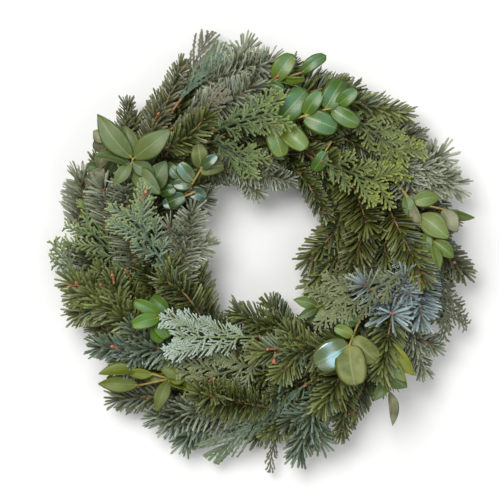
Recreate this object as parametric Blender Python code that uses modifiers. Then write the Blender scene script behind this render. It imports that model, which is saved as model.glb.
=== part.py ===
"""An advent wreath, laid flat: a straw roll bound all round with evergreen sprays by one long wire.

X runs to the right and Y up as the wreath is seen from above, and Z is up from the surface it lies on.
Every spray's cut end lies on the straw under a turn of the wire. From there its stem runs clockwise and
rises over the cut ends of the next sprays. Angles are in degrees, counter-clockwise from +X, round the
middle of the ring. The tables below give distances in millimetres, and everything else is in metres.
"""

import math
import random

import bmesh
import bpy
import numpy as np
from mathutils import Matrix, Vector
from mathutils.bvhtree import BVHTree
from mathutils.geometry import interpolate_bezier

MM = 0.001
UP = Vector((0, 0, 1))

# The straw roll
RING_RADIUS = 104 * MM
STRAW_RADIUS = 18 * MM
STRAW_HEIGHT = 16.5 * MM  # of the roll's middle. The roll is flat where it would reach below the surface
STRAW_STEPS = 42  # three for each turn of the wire, so that every groove is in the middle of a face
STRAW_SIDES = 10  # leaves the roll a flat band underneath
GROOVE_RADIUS = 1.45 * MM
GROOVE_HEIGHT = 0.3 * MM
GROOVE_LENGTH = 21 * MM

# The binding wire
WIRE_TURNS = 14
WIRE_PITCH = 360 / WIRE_TURNS
WIRE_RADIUS = 0.45 * MM
WIRE_REACH = 23.6 * MM  # from the roll's middle, over the stems
WIRE_FLOOR = 0.85 * MM  # height of the wire where it passes under the roll
WIRE_LOW = -50  # tube angle under the outer side. Below it the wire goes straight across, under the roll
WIRE_OVER = (-20, 200)
WIRE_OVER_STEPS = 5

# Stems
FOOT_RADIUS = 1.3 * MM
TIP_RADIUS = 1.15 * MM
TWIG_RADIUS = 1.15 * MM
FOOT_BEHIND = 3.6  # degrees that a cut end reaches back from its turn of wire
FOOT_AHEAD = 2.0  # degrees that a stem goes on along the straw past the wire
LEAST_LEAD = 8.0  # degrees from the wire to where a spray comes into view
SQUARE = 0.71  # half the side of a stem's square section, as a share of its radius
REST_GAP = 0.3 * MM  # between touching pieces
CROWN_BASE = 13 * MM  # height of the foliage's edge
CROWN_SPREAD = 78 * MM  # from the roll's middle to that edge, seen from above
START_HEIGHT, START_STEP = 31 * MM, 8 * MM  # of a spray's start over the base, and for each layer
END_HEIGHT, END_STEP = 42 * MM, 10 * MM
LIFTS = (0, 3, -3, 6, -6, 9, -9, 12, 15, 18)  # millimetres tried for a spray that is in another's way
SIDE_STEPS = (0, 12, -12, 24, -24, 36, -36)
TURN_STEPS = (0, 1)
LEAST_HEIGHT = 1.2 * MM  # of any foliage over the surface
CHORD_DIP = 0.15 * MM  # of a straight cut end between two turns of the curved roll

# Blades
BLADE = 0.8 * MM  # thickness
LEAF_SHEET_GAP = 0.26  # of a leaf's half width: how thick a leaf counts while the sprays are laid
LEAF_STATIONS = (0.3, 0.72)
LEAST_LEAF_WIDTH = 0.4  # of its length. A leaf that looks narrower is turned on its edge
PETIOLE_SINK = 0.25 * MM
FROND_RIB = 1.2 * MM  # half the width of a frond's rib
FROND_LEAST = 4.5 * MM  # length of its shortest side branch
FROND_STEM_END = 3.5 * MM  # how far the stem goes on inside the frond

# name, kind, start (angle, distance), tip (angle, distance), layer from 0, below, to 2, on top
FIR_SPRAYS = (
    ("noble_fir_01", "noble", (113, 143), (89, 150), 1),
    ("fir_02", "dark", (129, 134), (115, 162), 0),
    ("fir_03", "dark", (150, 134), (134, 160), 0),
    ("fir_04", "green", (175, 140), (160, 153), 0),
    ("noble_fir_05", "noble", (176, 108), (155, 121), 1),
    ("noble_fir_06", "noble", (203, 74), (153, 65), 1),
    ("fir_07", "green", (213, 119), (190, 157), 1),
    ("fir_08", "dark", (206, 102), (189, 130), 0),
    ("fir_09", "green", (230, 74), (202, 58), 0),
    ("fir_10", "dark", (229, 107), (211, 153), 1),
    ("fir_11", "dark", (235, 147), (226, 169), 0),
    ("fir_12", "green", (262, 122), (247, 125), 1),
    ("fir_13", "green", (267, 137), (238, 160), 0),
    ("fir_14", "green", (298, 78), (250, 56), 0),
    ("fir_15", "green", (306, 95), (268, 81), 1),
    ("fir_16", "green", (292, 126), (280, 164), 0),
    ("fir_17", "dark", (302, 128), (293, 160), 0),
    ("fir_18", "green", (305, 113), (291, 131), 1),
    ("fir_19", "green", (328, 116), (314, 132), 1),
    ("noble_fir_20", "noble", (342, 107), (332, 112), 2),
    ("noble_fir_21", "noble", (354, 121), (337, 134), 1),
    ("fir_22", "dark", (338, 120), (323, 160), 0),
    ("fir_23", "dark", (3, 136), (354, 160), 0),
    ("fir_24", "green", (12, 105), (351, 124), 2),
    ("fir_25", "green", (20, 87), (351, 71), 1),
    ("fir_26", "green", (22, 66), (348, 38), 0),
    ("fir_27", "dark", (65, 66), (31, 56), 0),
    ("noble_fir_28", "noble", (37, 86), (15, 83), 1),
    ("noble_fir_29", "noble", (41, 121), (19, 158), 1),
    ("fir_30", "green", (62, 135), (45, 155), 0),
    ("noble_fir_31", "noble", (122, 75), (72, 58), 0),
    ("fir_32", "green", (81, 124), (66, 144), 0),
)
NEEDLES = {  # length in millimetres, millimetres of shoot for each needle, colour
    "green": (21, 8.0, (0.075, 0.125, 0.035)),
    "dark": (19, 8.0, (0.055, 0.085, 0.035)),
    "noble": (19, 7.8, (0.13, 0.18, 0.13)),
}
NEEDLE_RADIUS = 0.65 * MM
TIP_NEEDLES = 3
TWIG_THINNING = 1.5
LEAST_KEPT = 0.72  # of the volume of the pieces that are joined. Less means that the join lost one

# name, kind, start, tip, layer, width, number of side branches on either side, colour
FRONDS = (
    ("cypress_01", "cypress", (188, 113), (172, 146), 1, 44, 4, "green"),
    ("cypress_02", "cypress", (189, 81), (163, 111), 2, 44, 4, "blue"),
    ("cypress_03", "cypress", (190, 146), (180, 173), 0, 22, 4, "green"),
    ("cypress_04", "cypress", (264, 70), (224, 98), 2, 48, 5, "silver"),
    ("cypress_05", "cypress", (272, 88), (243, 117), 1, 42, 4, "olive"),
    ("cypress_06", "cypress", (357, 131), (337, 164), 1, 34, 4, "olive"),
    ("cypress_07", "cypress", (350, 108), (318, 63), 1, 42, 4, "olive"),
    ("cypress_08", "cypress", (57, 125), (32, 132), 2, 38, 4, "green"),
    ("cypress_09", "cypress", (57, 82), (27, 107), 2, 36, 4, "green"),
    ("cypress_10", "cypress", (112, 102), (85, 108), 2, 34, 4, "green"),
    ("cypress_11", "cypress", (117, 96), (97, 66), 1, 28, 4, "green"),
    ("juniper_12", "juniper", (120, 142), (104, 183), 0, 13, 4, "brown"),
    ("juniper_13", "juniper", (119, 138), (100, 168), 1, 20, 4, "blue"),
    ("juniper_14", "juniper", (285, 114), (255, 176), 1, 20, 4, "blue"),
    ("juniper_15", "juniper", (126, 122), (103, 128), 1, 18, 4, "brown"),
)
FROND_COLOURS = {
    "green": (0.14, 0.21, 0.06),
    "olive": (0.15, 0.18, 0.075),
    "blue": (0.13, 0.2, 0.13),
    "silver": (0.27, 0.34, 0.26),
    "brown": (0.13, 0.12, 0.07),
}

# name, kind, start, tip, layer, side twigs (along, heading, length),
# leaves (twig, along, heading seen from above, length, width seen from above)
SPRIGS = (
    (
        "box_sprig_01", "box", (87, 98), (63, 126), 2, (),
        (
            (0, 0.06, 48, 37, 20), (0, 0.5, 55, 24, 13), (0, 0.8, 59, 28, 18),
            (0, 0.98, 40, 21, 12), (0, 0.48, -21, 29, 19),
            (0, 0.9, -30, 26, 14), (0, 0.12, -44, 31, 17), (0, 0.0, -71, 27, 17),
        ),
    ),
    (
        "box_sprig_02", "box", (91, 131), (78, 144), 1, (),
        (
            (0, 0.3, 54, 26, 16), (0, 0.5, -5, 19, 6), (0, 0.35, -14, 20, 6),
            (0, 0.1, -20, 16, 8), (0, 1.0, 35, 24, 11),
        ),
    ),
    (
        "privet_sprig_03", "privet", (155, 121), (145.5, 126), 2, (),
        (
            (0, 1.0, 128, 45, 19), (0, 1.0, 37, 39, 19), (0, 0.95, 103, 28, 14),
            (0, 0.75, 165, 31, 10), (0, 0.85, 232, 24, 11), (0, 0.85, -25, 20, 14),
            (0, 0.6, -40, 33, 18),
        ),
    ),
    (
        "privet_sprig_04", "privet", (162, 139), (149, 150), 0, (),
        (
            (0, 1.0, 110, 17, 13), (0, 0.6, 165, 15, 12), (0, 0.2, 150, 17, 13), (0, 0.8, 70, 15, 10),
        ),
    ),
    (
        "box_sprig_05", "box", (150, 76), (128, 81), 2, (),
        (
            (0, 1.0, 97, 20, 14), (0, 0.98, 41, 17, 9), (0, 0.9, 14, 20, 13),
            (0, 0.6, 130, 19, 13), (0, 0.55, 186, 16, 11), (0, 0.1, 117, 21, 13),
            (0, 0.05, 196, 18, 12), (0, 0.3, -22, 16, 12),
        ),
    ),
    (
        "privet_sprig_06", "privet", (22, 119), (2, 133), 2, ((0.2, -12, 28),),
        (
            (0, 0.02, -80, 21, 11), (0, 0.2, -70, 23, 8),
            (0, 0.2, 10, 24, 14), (0, 0.45, -39, 31, 19), (0, 0.75, -88, 22, 9),
            (0, 0.95, -39, 22, 12), (0, 1.0, -78, 24, 9),
            (1, 1.0, -17, 25, 8), (1, 0.9, -58, 22, 15),
        ),
    ),
    (
        "box_sprig_07", "box", (322, 94), (311, 100), 2, (),
        (
            (0, 1.0, -151, 32, 24), (0, 1.0, -83, 33, 25), (0, 0.7, -42, 27, 18),
            (0, 0.6, 155, 17, 10), (0, 0.0, 162, 21, 15),
        ),
    ),
    (
        "privet_sprig_08", "privet", (323, 119), (311, 151), 2, (),
        (
            (0, 0.3, -51, 27, 12), (0, 0.1, -28, 13, 8), (0, 0.6, -38, 21, 14),
            (0, 0.75, -124, 21, 10), (0, 1.0, -83, 28, 9),
        ),
    ),
    (
        "privet_sprig_09", "privet", (326, 70), (312, 62), 2, (),
        (
            (0, 1.0, 164, 21, 10), (0, 1.0, 208, 20, 8), (0, 0.6, -137, 22, 11), (0, 0.8, 105, 14, 7),
        ),
    ),
    (
        "box_sprig_10", "box", (222, 91), (212.5, 99), 2, (),
        (
            (0, 0.8, 149, 27, 11), (0, 1.0, 196, 23, 12), (0, 0.6, -120, 20, 15),
            (0, 0.35, -62, 14, 9), (0, 0.55, 166, 19, 10),
        ),
    ),
    (
        "privet_sprig_11", "privet", (240, 117), (227, 149), 1, ((0.4, 164, 27),),
        (
            (0, 1.0, 178, 33, 14), (0, 0.4, -112, 29, 12), (0, 0.5, -18, 27, 9),
            (0, 0.0, -70, 16, 13), (1, 0.5, 176, 23, 9),
            (1, 1.0, 184, 32, 10), (1, 0.1, 12, 20, 13),
        ),
    ),
)
LEAF_COLOURS = {"box": (0.13, 0.22, 0.035), "privet": (0.15, 0.23, 0.045)}
STRAW_COLOUR = (0.47, 0.34, 0.15)
WIRE_COLOUR = (0.04, 0.09, 0.045)


def clear_scene():
    for item in list(bpy.data.objects):
        bpy.data.objects.remove(item, do_unlink=True)


def collection(name, hidden=False):
    made = bpy.data.collections.new(name)
    made.hide_render = hidden
    bpy.context.scene.collection.children.link(made)
    return made


def material(name, colour, roughness, metallic=0.0):
    made = bpy.data.materials.new(name)
    made.use_nodes = True
    shader = made.node_tree.nodes["Principled BSDF"]
    shader.inputs["Base Color"].default_value = (*colour, 1)
    shader.inputs["Roughness"].default_value = roughness
    shader.inputs["Metallic"].default_value = metallic
    return made


def mesh_object(name, mesh, folder):
    made = bpy.data.objects.new(name, mesh)
    folder.objects.link(made)
    return made


def evaluated_mesh(item):
    """The object's mesh with its modifiers applied and a curve's caps joined to its sides."""
    graph = bpy.context.evaluated_depsgraph_get()
    mesh = bpy.data.meshes.new_from_object(item.evaluated_get(graph))
    shape = bmesh.new()
    shape.from_mesh(mesh)
    bmesh.ops.remove_doubles(shape, verts=shape.verts, dist=0.001 * MM)
    shape.to_mesh(mesh)
    shape.free()
    return mesh


# Places on the ring


def place(angle, distance, height=0.0):
    turn = math.radians(angle)
    return Vector((distance * math.cos(turn), distance * math.sin(turn), height))


def on_roll(ring_angle, tube_angle, reach):
    """The point at this distance from the roll's middle line, at a tube angle of 0 outside and 90 on top."""
    tilt = math.radians(tube_angle)
    return place(ring_angle, RING_RADIUS + reach * math.cos(tilt), STRAW_HEIGHT + reach * math.sin(tilt))


def straw_gaps(points):
    """How far each point is from the straw roll's surface, which is made of flat faces."""
    points = np.asarray(points, float).reshape(-1, 3)
    step = math.tau / STRAW_STEPS
    turned = np.arctan2(points[:, 1], points[:, 0]) % step - step / 2
    out = np.hypot(points[:, 0], points[:, 1]) * np.cos(turned) / math.cos(step / 2) - RING_RADIUS
    up = points[:, 2] - STRAW_HEIGHT
    step = math.tau / STRAW_SIDES
    turned = np.arctan2(up, out) % step - step / 2
    return np.hypot(out, up) * np.cos(turned) - STRAW_RADIUS * math.cos(step / 2)


def heading(angle):
    return place(angle, 1.0)


def roll_middle(point):
    flat = Vector((point.x, point.y, 0))
    return flat.normalized() * RING_RADIUS + UP * STRAW_HEIGHT


def foliage_up(point):
    """Which way a spray faces here: halfway between straight up and straight away from the roll."""
    return ((point - roll_middle(point)).normalized() + 1.4 * UP).normalized()


def crown(distance, rise):
    """Height of a spray's point, which falls off towards the foliage's inner and outer edges."""
    off = min(1.0, abs(distance - RING_RADIUS) / CROWN_SPREAD)
    return CROWN_BASE + rise * math.cos(math.pi / 2 * off)


# The straw roll and its wire


def straw_roll(folder, cutters):
    bpy.ops.mesh.primitive_torus_add(
        major_segments=STRAW_STEPS,
        minor_segments=STRAW_SIDES,
        major_radius=RING_RADIUS,
        minor_radius=STRAW_RADIUS,
        location=(0, 0, 0),
    )
    roll = bpy.context.object
    roll.name = "straw_ring"
    for vertex in roll.data.vertices:
        vertex.co.z = max(0.0, vertex.co.z + STRAW_HEIGHT)
    for turn in range(WIRE_TURNS):
        cut = groove_cutter(turn, cutters)
        groove = roll.modifiers.new("wire groove", "BOOLEAN")
        groove.operation = "DIFFERENCE"
        groove.object = cut
    move_to(roll, folder)
    roll.data.shade_smooth()
    roll.data.materials.append(material("straw", STRAW_COLOUR, 0.85))
    return roll


def groove_cutter(turn, cutters):
    """A rod laid across the roll's underside, where one turn of the wire passes."""
    shape = bmesh.new()
    bmesh.ops.create_cone(
        shape, cap_ends=True, segments=6, radius1=GROOVE_RADIUS, radius2=GROOVE_RADIUS, depth=GROOVE_LENGTH
    )
    mesh = bpy.data.meshes.new("groove")
    shape.to_mesh(mesh)
    shape.free()
    cutter = mesh_object(f"groove_cutter_{turn + 1:02d}", mesh, cutters)
    across = heading(bottom_angle(turn))
    cutter.matrix_world = Matrix.Translation(across * RING_RADIUS + UP * GROOVE_HEIGHT) @ turned_to(across)
    cutter.hide_render = True
    cutter.display_type = "WIRE"
    return cutter


def turned_to(direction):
    return direction.to_track_quat("Z", "Y").to_matrix().to_4x4()


def move_to(item, folder):
    for other in list(item.users_collection):
        other.objects.unlink(item)
    folder.objects.link(item)


def bottom_angle(turn):
    return WIRE_PITCH * (turn + 0.5)


def wire_advance(tube_angle):
    """How far round its pitch the wire has come at this tube angle: none of it lies under the roll."""
    return (tube_angle - WIRE_LOW) / (180 - 2 * WIRE_LOW)


def wire_angle(turn, tube_angle):
    return bottom_angle(turn) + WIRE_PITCH * wire_advance(tube_angle)


def wire_stations():
    first, last = WIRE_OVER
    over = [first + (last - first) * k / WIRE_OVER_STEPS for k in range(WIRE_OVER_STEPS + 1)]
    return [WIRE_LOW, *over, 180 - WIRE_LOW]


def wire_points():
    points = []
    for turn in range(WIRE_TURNS):
        for tube_angle in wire_stations():
            reach = WIRE_REACH
            down = -math.sin(math.radians(tube_angle))
            if down > 0:
                reach = min(reach, (STRAW_HEIGHT - WIRE_FLOOR) / down)
            points.append(on_roll(wire_angle(turn, tube_angle), tube_angle, reach))
    return points


def tube(name, points, radii, folder, closed=False, resolution=0):
    """A round tube through the points as a curve object: four-sided where the resolution is 0."""
    curve = bpy.data.curves.new(name, "CURVE")
    curve.dimensions = "3D"
    curve.bevel_depth = 1.0
    curve.bevel_resolution = resolution
    curve.use_fill_caps = not closed
    line = curve.splines.new("POLY")
    line.points.add(len(points) - 1)
    for spot, point, radius in zip(line.points, points, radii):
        spot.co = (*point, 1)
        spot.radius = radius
    line.use_cyclic_u = closed
    made = bpy.data.objects.new(name, curve)
    folder.objects.link(made)
    return made


def square_tube(name, points, radii, folder):
    """A stem of square section as a mesh, with a flat side towards the straw roll."""
    shape = bmesh.new()
    ways = [(b - a).normalized() for a, b in zip(points, points[1:])]
    ways = [ways[0], *((one + two).normalized() for one, two in zip(ways, ways[1:])), ways[-1]]
    rings = []
    for point, way, radius in zip(points, ways, radii):
        across = way.cross(point - roll_middle(point)).normalized() * radius * SQUARE
        away = across.cross(way)
        corners = (across + away, across - away, -across - away, away - across)
        rings.append([shape.verts.new(point + corner) for corner in corners])
    for one, two in zip(rings, rings[1:]):
        for k in range(4):
            shape.faces.new((one[k], one[k - 1], two[k - 1], two[k]))
    shape.faces.new(rings[0])
    shape.faces.new(rings[-1][::-1])
    bmesh.ops.recalc_face_normals(shape, faces=shape.faces)
    mesh = bpy.data.meshes.new(name)
    shape.to_mesh(mesh)
    shape.free()
    return mesh_object(name, mesh, folder)


# How the sprays are laid. Each is tried with its bones, thick lines along its stem, twigs, side branches
# and leaves, and shifted until they clear those of the sprays that are already there.


def bezier(start, end, leaving, arriving, steps):
    third = (end - start).length / 3
    return interpolate_bezier(start, start + leaving * third, end - arriving * third, end, steps + 1)


def stem_line(start, tip, layer, turn_step, side_step, lift, before=2, after=3):
    """The stem from its cut end to its tip, and the number of the point where it comes into view."""
    near = place(start[0], start[1] * MM, crown(start[1] * MM, START_HEIGHT + START_STEP * layer) + lift)
    far = place(tip[0], tip[1] * MM, crown(tip[1] * MM, END_HEIGHT + END_STEP * layer) + lift)
    side = 90 - 2.2 * (start[1] - RING_RADIUS / MM)
    side = min(180.0, max(0.0, side)) + side_step
    wanted = start[0] + LEAST_LEAD - WIRE_PITCH * (0.5 + wire_advance(side))
    turn = math.ceil(wanted / WIRE_PITCH) + turn_step
    crossing = wire_angle(turn, side)
    reach = STRAW_RADIUS
    for _ in range(3):
        foot = on_roll(crossing + FOOT_BEHIND, side, reach)
        leaving = on_roll(crossing - FOOT_AHEAD, side, reach)
        gap = straw_gaps([foot.lerp(leaving, t / 8) for t in range(9)]).min()
        reach += FOOT_RADIUS * SQUARE + REST_GAP - gap
    along = (leaving - foot).normalized()
    ahead = (far - near).normalized()
    middle = (along + 2 * ahead).normalized()
    hidden = bezier(leaving, near, along, middle, before)
    shown = bezier(near, far, middle, (ahead - 0.15 * UP).normalized(), after)
    return [foot, *hidden, *shown[1:]], before + 1


def spot_on(line, along):
    """The point at this share of the line's length, and the line's direction there, which turns evenly."""
    lengths = [(b - a).length for a, b in zip(line, line[1:])]
    ways = [(b - a).normalized() for a, b in zip(line, line[1:])]
    corners = [ways[0], *((one + two).normalized() for one, two in zip(ways, ways[1:])), ways[-1]]
    left = along * sum(lengths)
    for k, length in enumerate(lengths):
        if left <= length or k == len(lengths) - 1:
            share = min(1.0, left / length)
            return line[k].lerp(line[k + 1], share), corners[k].lerp(corners[k + 1], share).normalized()
        left -= length


def line_bones(points, radii):
    return [(a, b, max(r, s)) for a, b, r, s in zip(points, points[1:], radii, radii[1:])]


def stem_radii(count, tip=TIP_RADIUS):
    return [FOOT_RADIUS + (tip - FOOT_RADIUS) * k / (count - 1) for k in range(count)]


def side_twigs(shown, length):
    """A long fir shoot's two side shoots, as (root, tip)."""
    twigs = []
    if length < 50 * MM:
        return twigs
    for along, side, share in ((0.22, 1, 0.46), (0.42, -1, 0.4)):
        root, ahead = spot_on(shown, along)
        across = ahead.cross(foliage_up(root)).normalized()
        turned = (ahead * math.cos(math.radians(40)) + across * side * math.sin(math.radians(40))).normalized()
        twigs.append((root, root + turned * length * share))
    return twigs


def line_length(line):
    return sum((b - a).length for a, b in zip(line, line[1:]))


def fir_bones(shown):
    return [(a, b, TWIG_RADIUS) for a, b in side_twigs(shown, line_length(shown))]


def frond_branches(width, count):
    """The side branches of a flat frond, as (along the rib, side, length, lean)."""
    branches = []
    for k in range(count):
        for side in (-1, 1):
            along = (k + 0.3 + 0.25 * side) / count * 0.94
            swell = math.sin(math.pi * (0.22 + 0.78 * (1 - along)) ** 1.15)
            branches.append((along, side, max(FROND_LEAST, width / 2 * (0.3 + 0.95 * swell)), 42))
    return branches


def frond_point(shown, length, along, across):
    """The point of a frond's middle sheet at this distance along its rib and across it."""
    root, ahead = spot_on(shown, min(1.0, max(0.0, along / length)))
    root = root + ahead * (min(0.0, along) + max(0.0, along - length))
    up = foliage_up(root)
    side = ahead.cross(up).normalized()
    up = side.cross(ahead)
    return root + side * across - up * (across * across * 7.0)


def frond_bones(shown, width, count):
    length = line_length(shown)
    bones = []
    for along, side, reach, lean in frond_branches(width * MM, count):
        turn = math.radians(lean)
        tip = (along * length + reach * math.cos(turn), side * (FROND_RIB + reach * math.sin(turn)))
        points = [
            frond_point(shown, length, along * length + (tip[0] - along * length) * t, tip[1] * t)
            for t in (0.0, 0.5, 1.0)
        ]
        bones += line_bones(points, [2.0 * MM] * 3)
    return bones


def leaf_frame(angle, length, width, number):
    """A leaf's own axes (along, across, up), and its real width. It leans up a little more or less."""
    real = max(width, LEAST_LEAF_WIDTH * length)
    roll = math.acos(min(1.0, width / real)) * (1 if number % 2 else -1)
    pitch = math.radians(8 + 9 * math.sin(2.4 * number))
    along = (heading(angle) * math.cos(pitch) + UP * math.sin(pitch)).normalized()
    across = UP.cross(along).normalized()
    up = along.cross(across)
    across, up = across * math.cos(roll) + up * math.sin(roll), up * math.cos(roll) - across * math.sin(roll)
    return along, across, up, real


def leaf_half_width(kind, t):
    """A leaf's half width at this share of its length, as a share of its whole width."""
    if kind == "box":
        return 0.5 * math.sqrt(max(0.0, 1 - (2 * t - 1) ** 2)) ** 0.85
    return 0.5 * math.sin(math.pi * t**0.92) ** 0.9


def leaf_point(kind, root, frame, length, t, share):
    """The point of a leaf's middle sheet at t of its length, and at share of its half width from the rib."""
    along, across, up, real = frame
    half = real * leaf_half_width(kind, t)
    arch = 0.09 * length * math.sin(math.pi * t) - 0.05 * length * t * t
    return root + along * (length * t) + across * (half * share) + up * (arch + 0.16 * half * abs(share))


def sprig_twigs(shown, twigs):
    """The shown stem and its side twigs, as lines."""
    lines = [shown]
    for along, angle, length in twigs:
        root, _ = spot_on(shown, along)
        tip = root + (heading(angle) + 0.1 * UP).normalized() * length * MM
        lines.append([root, tip])
    return lines


def leaf_root(line, along):
    """Where a leaf grows from: never so near the line's end that its root would miss the stem."""
    return spot_on(line, min(along, 1 - 0.9 * MM / line_length(line)))


def leaf_bones(kind, root, frame, length):
    bones = []
    thick = max(1.2 * MM, LEAF_SHEET_GAP * frame[3] / 2)
    for share in (-0.62, 0.0, 0.62):
        line = [leaf_point(kind, root, frame, length, t, share) for t in (0.12, 0.4, 0.68, 0.94)]
        bones += line_bones(line, [thick] * len(line))
    return bones


def sprig_bones(kind, shown, twigs, leaves):
    lines = sprig_twigs(shown, twigs)
    bones = []
    for line in lines[1:]:
        bones += line_bones(line, [TWIG_RADIUS] * len(line))
    for number, (twig, along, angle, length, width) in enumerate(leaves):
        root, _ = leaf_root(lines[twig], along)
        frame = leaf_frame(angle, length * MM, width * MM, number)
        bones += leaf_bones(kind, root, frame, length * MM)
    return bones


def segment_gaps(starts, ends, other_starts, other_ends):
    """The distance between every one of these lines and every one of the others."""
    one = (ends - starts)[:, None]
    two = (other_ends - other_starts)[None]
    apart = starts[:, None] - other_starts[None]
    a, e, b = (one * one).sum(-1), (two * two).sum(-1), (one * two).sum(-1)
    c, f = (one * apart).sum(-1), (two * apart).sum(-1)
    s = np.clip((b * f - c * e) / np.maximum(a * e - b * b, 1e-16), 0, 1)
    t = np.clip((b * s + f) / e, 0, 1)
    s = np.clip((b * t - c) / a, 0, 1)
    return np.linalg.norm(apart + one * s[..., None] - two * t[..., None], axis=-1)


class Bones:
    """The thick lines of everything that is already laid."""

    def __init__(self):
        self.starts, self.ends, self.radii = np.empty((0, 3)), np.empty((0, 3)), np.empty(0)

    @staticmethod
    def arrays(bones):
        return (
            np.array([tuple(a) for a, _, _ in bones]),
            np.array([tuple(b) for _, b, _ in bones]),
            np.array([r for _, _, r in bones]),
        )

    def add(self, bones):
        starts, ends, radii = self.arrays(bones)
        self.starts = np.concatenate([self.starts, starts])
        self.ends = np.concatenate([self.ends, ends])
        self.radii = np.concatenate([self.radii, radii])

    def clear_of(self, bones):
        starts, ends, radii = self.arrays(bones)
        if not clear_of_roll(starts, ends, radii):
            return False
        gaps = segment_gaps(starts, ends, self.starts, self.ends)
        return bool((gaps - radii[:, None] - self.radii[None] > REST_GAP - 0.01 * MM).all())


def clear_of_roll(starts, ends, radii):
    """Whether the lines stay out of the straw and off the surface below."""
    for t in (0.0, 0.5, 1.0):
        points = starts + (ends - starts) * t
        if (points[:, 2] - radii < LEAST_HEIGHT).any():
            return False
        if (straw_gaps(points) - radii * SQUARE < REST_GAP - CHORD_DIP).any():
            return False
    return True


def lay(laid, name, start, tip, layer, more_bones, tip_radius=TIP_RADIUS):
    """The first way of laying this spray that is clear of the others: its line, and where it is shown."""
    for lift in LIFTS:
        for turn_step in TURN_STEPS:
            for side_step in SIDE_STEPS:
                line, first = stem_line(start, tip, layer, turn_step, side_step, lift * MM)
                bones = line_bones(line, stem_radii(len(line), tip_radius)) + more_bones(line[first:])
                if laid.clear_of(bones):
                    laid.add(bones)
                    return line, first
    raise RuntimeError(f"{name} finds no free way")


def lay_all():
    """Each spray's line, the ones with the largest leaves first."""
    laid = Bones()
    wire = wire_points()
    laid.add(line_bones([*wire, wire[0]], [WIRE_RADIUS] * (len(wire) + 1)))
    lines = {}
    for name, kind, start, tip, layer, twigs, leaves in SPRIGS:
        lines[name] = lay(
            laid, name, start, tip, layer, lambda shown: sprig_bones(kind, shown, twigs, leaves)
        )
    for name, _, start, tip, layer, width, count, _ in FRONDS:
        lines[name] = lay(
            laid, name, start, tip, layer, lambda shown: frond_bones(shown, width, count), 1.0 * MM
        )
    for name, _, start, tip, layer in FIR_SPRAYS:
        lines[name] = lay(laid, name, start, tip, layer, fir_bones)
    return lines


# Solids


def sheet_object(name, points, faces, folder):
    """A thin solid on both sides of an open sheet. Both faces are split into the same triangles."""
    shape = bmesh.new()
    corners = [shape.verts.new(point) for point in points]
    for face in faces:
        shape.faces.new([corners[k] for k in face])
    bmesh.ops.triangulate(shape, faces=shape.faces)
    mesh = bpy.data.meshes.new(name)
    shape.to_mesh(mesh)
    shape.free()
    sheet = mesh_object(name, mesh, folder)
    thick = sheet.modifiers.new("thickness", "SOLIDIFY")
    thick.thickness = BLADE
    thick.offset = 0
    solid = mesh_object(name, evaluated_mesh(sheet), folder)
    bpy.data.objects.remove(sheet, do_unlink=True)
    return solid


def leaf_object(kind, root, frame, length, folder):
    points = [leaf_point(kind, root, frame, length, 0, 0) - frame[0] * PETIOLE_SINK]
    for t in LEAF_STATIONS:
        points += [leaf_point(kind, root, frame, length, t, share) for share in (-1, 0, 1)]
    points.append(leaf_point(kind, root, frame, length, 1, 0))
    faces = [(0, 2, 1), (0, 3, 2), (1, 2, 5, 4), (2, 3, 6, 5), (4, 5, 7), (5, 6, 7)]
    return sheet_object("leaf", points, faces, folder)


def frond_sheet(length, width, count):
    """The frond's flat sheet: points along and across the rib, and the triangles between them."""
    rib = FROND_RIB
    points, faces, edges = [], [], {}
    for side in (-1, 1):
        edges[side] = [len(points)]
        points.append((-2 * rib, side * 0.8 * rib))
        for along, branch_side, reach, lean in frond_branches(width, count):
            if branch_side != side:
                continue
            turn = math.radians(lean)
            ahead = Vector((math.cos(turn), side * math.sin(turn)))
            out = Vector((math.sin(turn), -side * math.cos(turn)))
            root = Vector((along * length, side * rib))
            half = min(2.6 * MM, 0.27 * reach)
            first = len(points)
            edges[side].append(first)
            points += [
                tuple(root),
                tuple(root + ahead * reach * 0.5 + out * half),
                tuple(root + ahead * reach),
                tuple(root + ahead * reach * 0.6 - out * half),
            ]
            next_root = first + 4
            branch = [(first, first + 1, first + 3), (first + 1, first + 2, first + 3), (first, next_root, first + 1)]
            faces += branch if side == 1 else [face[::-1] for face in branch]
        edges[side].append(len(points))
        points.append((length * 0.96, side * 0.8 * rib))
    low, high = edges[-1], edges[1]
    i = j = 0
    while i < len(low) - 1 or j < len(high) - 1:
        if j == len(high) - 1 or (i < len(low) - 1 and points[low[i + 1]][0] <= points[high[j + 1]][0]):
            faces.append((low[i], low[i + 1], high[j]))
            i += 1
        else:
            faces.append((low[i], high[j + 1], high[j]))
            j += 1
    faces.append((low[-1], len(points), high[-1]))
    points.append((length * 1.03, 0.0))
    return points, faces


def frond_object(name, shown, width, count, folder):
    length = line_length(shown)
    flat, faces = frond_sheet(length, width * MM, count)
    return sheet_object(name, [frond_point(shown, length, x, y) for x, y in flat], faces, folder)


def cone_between(name, root, tip, root_radius, tip_radius, sides, folder):
    shape = bmesh.new()
    along = tip - root
    bmesh.ops.create_cone(
        shape,
        cap_ends=True,
        segments=sides,
        radius1=root_radius,
        radius2=tip_radius,
        depth=along.length,
        matrix=Matrix.Translation((root + tip) / 2) @ turned_to(along),
    )
    mesh = bpy.data.meshes.new(name)
    shape.to_mesh(mesh)
    shape.free()
    return mesh_object(name, mesh, folder)


def search_tree(items):
    """A tree of the objects' faces, for testing what crosses them."""
    points, faces = [], []
    for item in items:
        first = len(points)
        points += [vertex.co.copy() for vertex in item.data.vertices]
        faces += [tuple(first + k for k in polygon.vertices) for polygon in item.data.polygons]
    return BVHTree.FromPolygons(points, faces)


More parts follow.
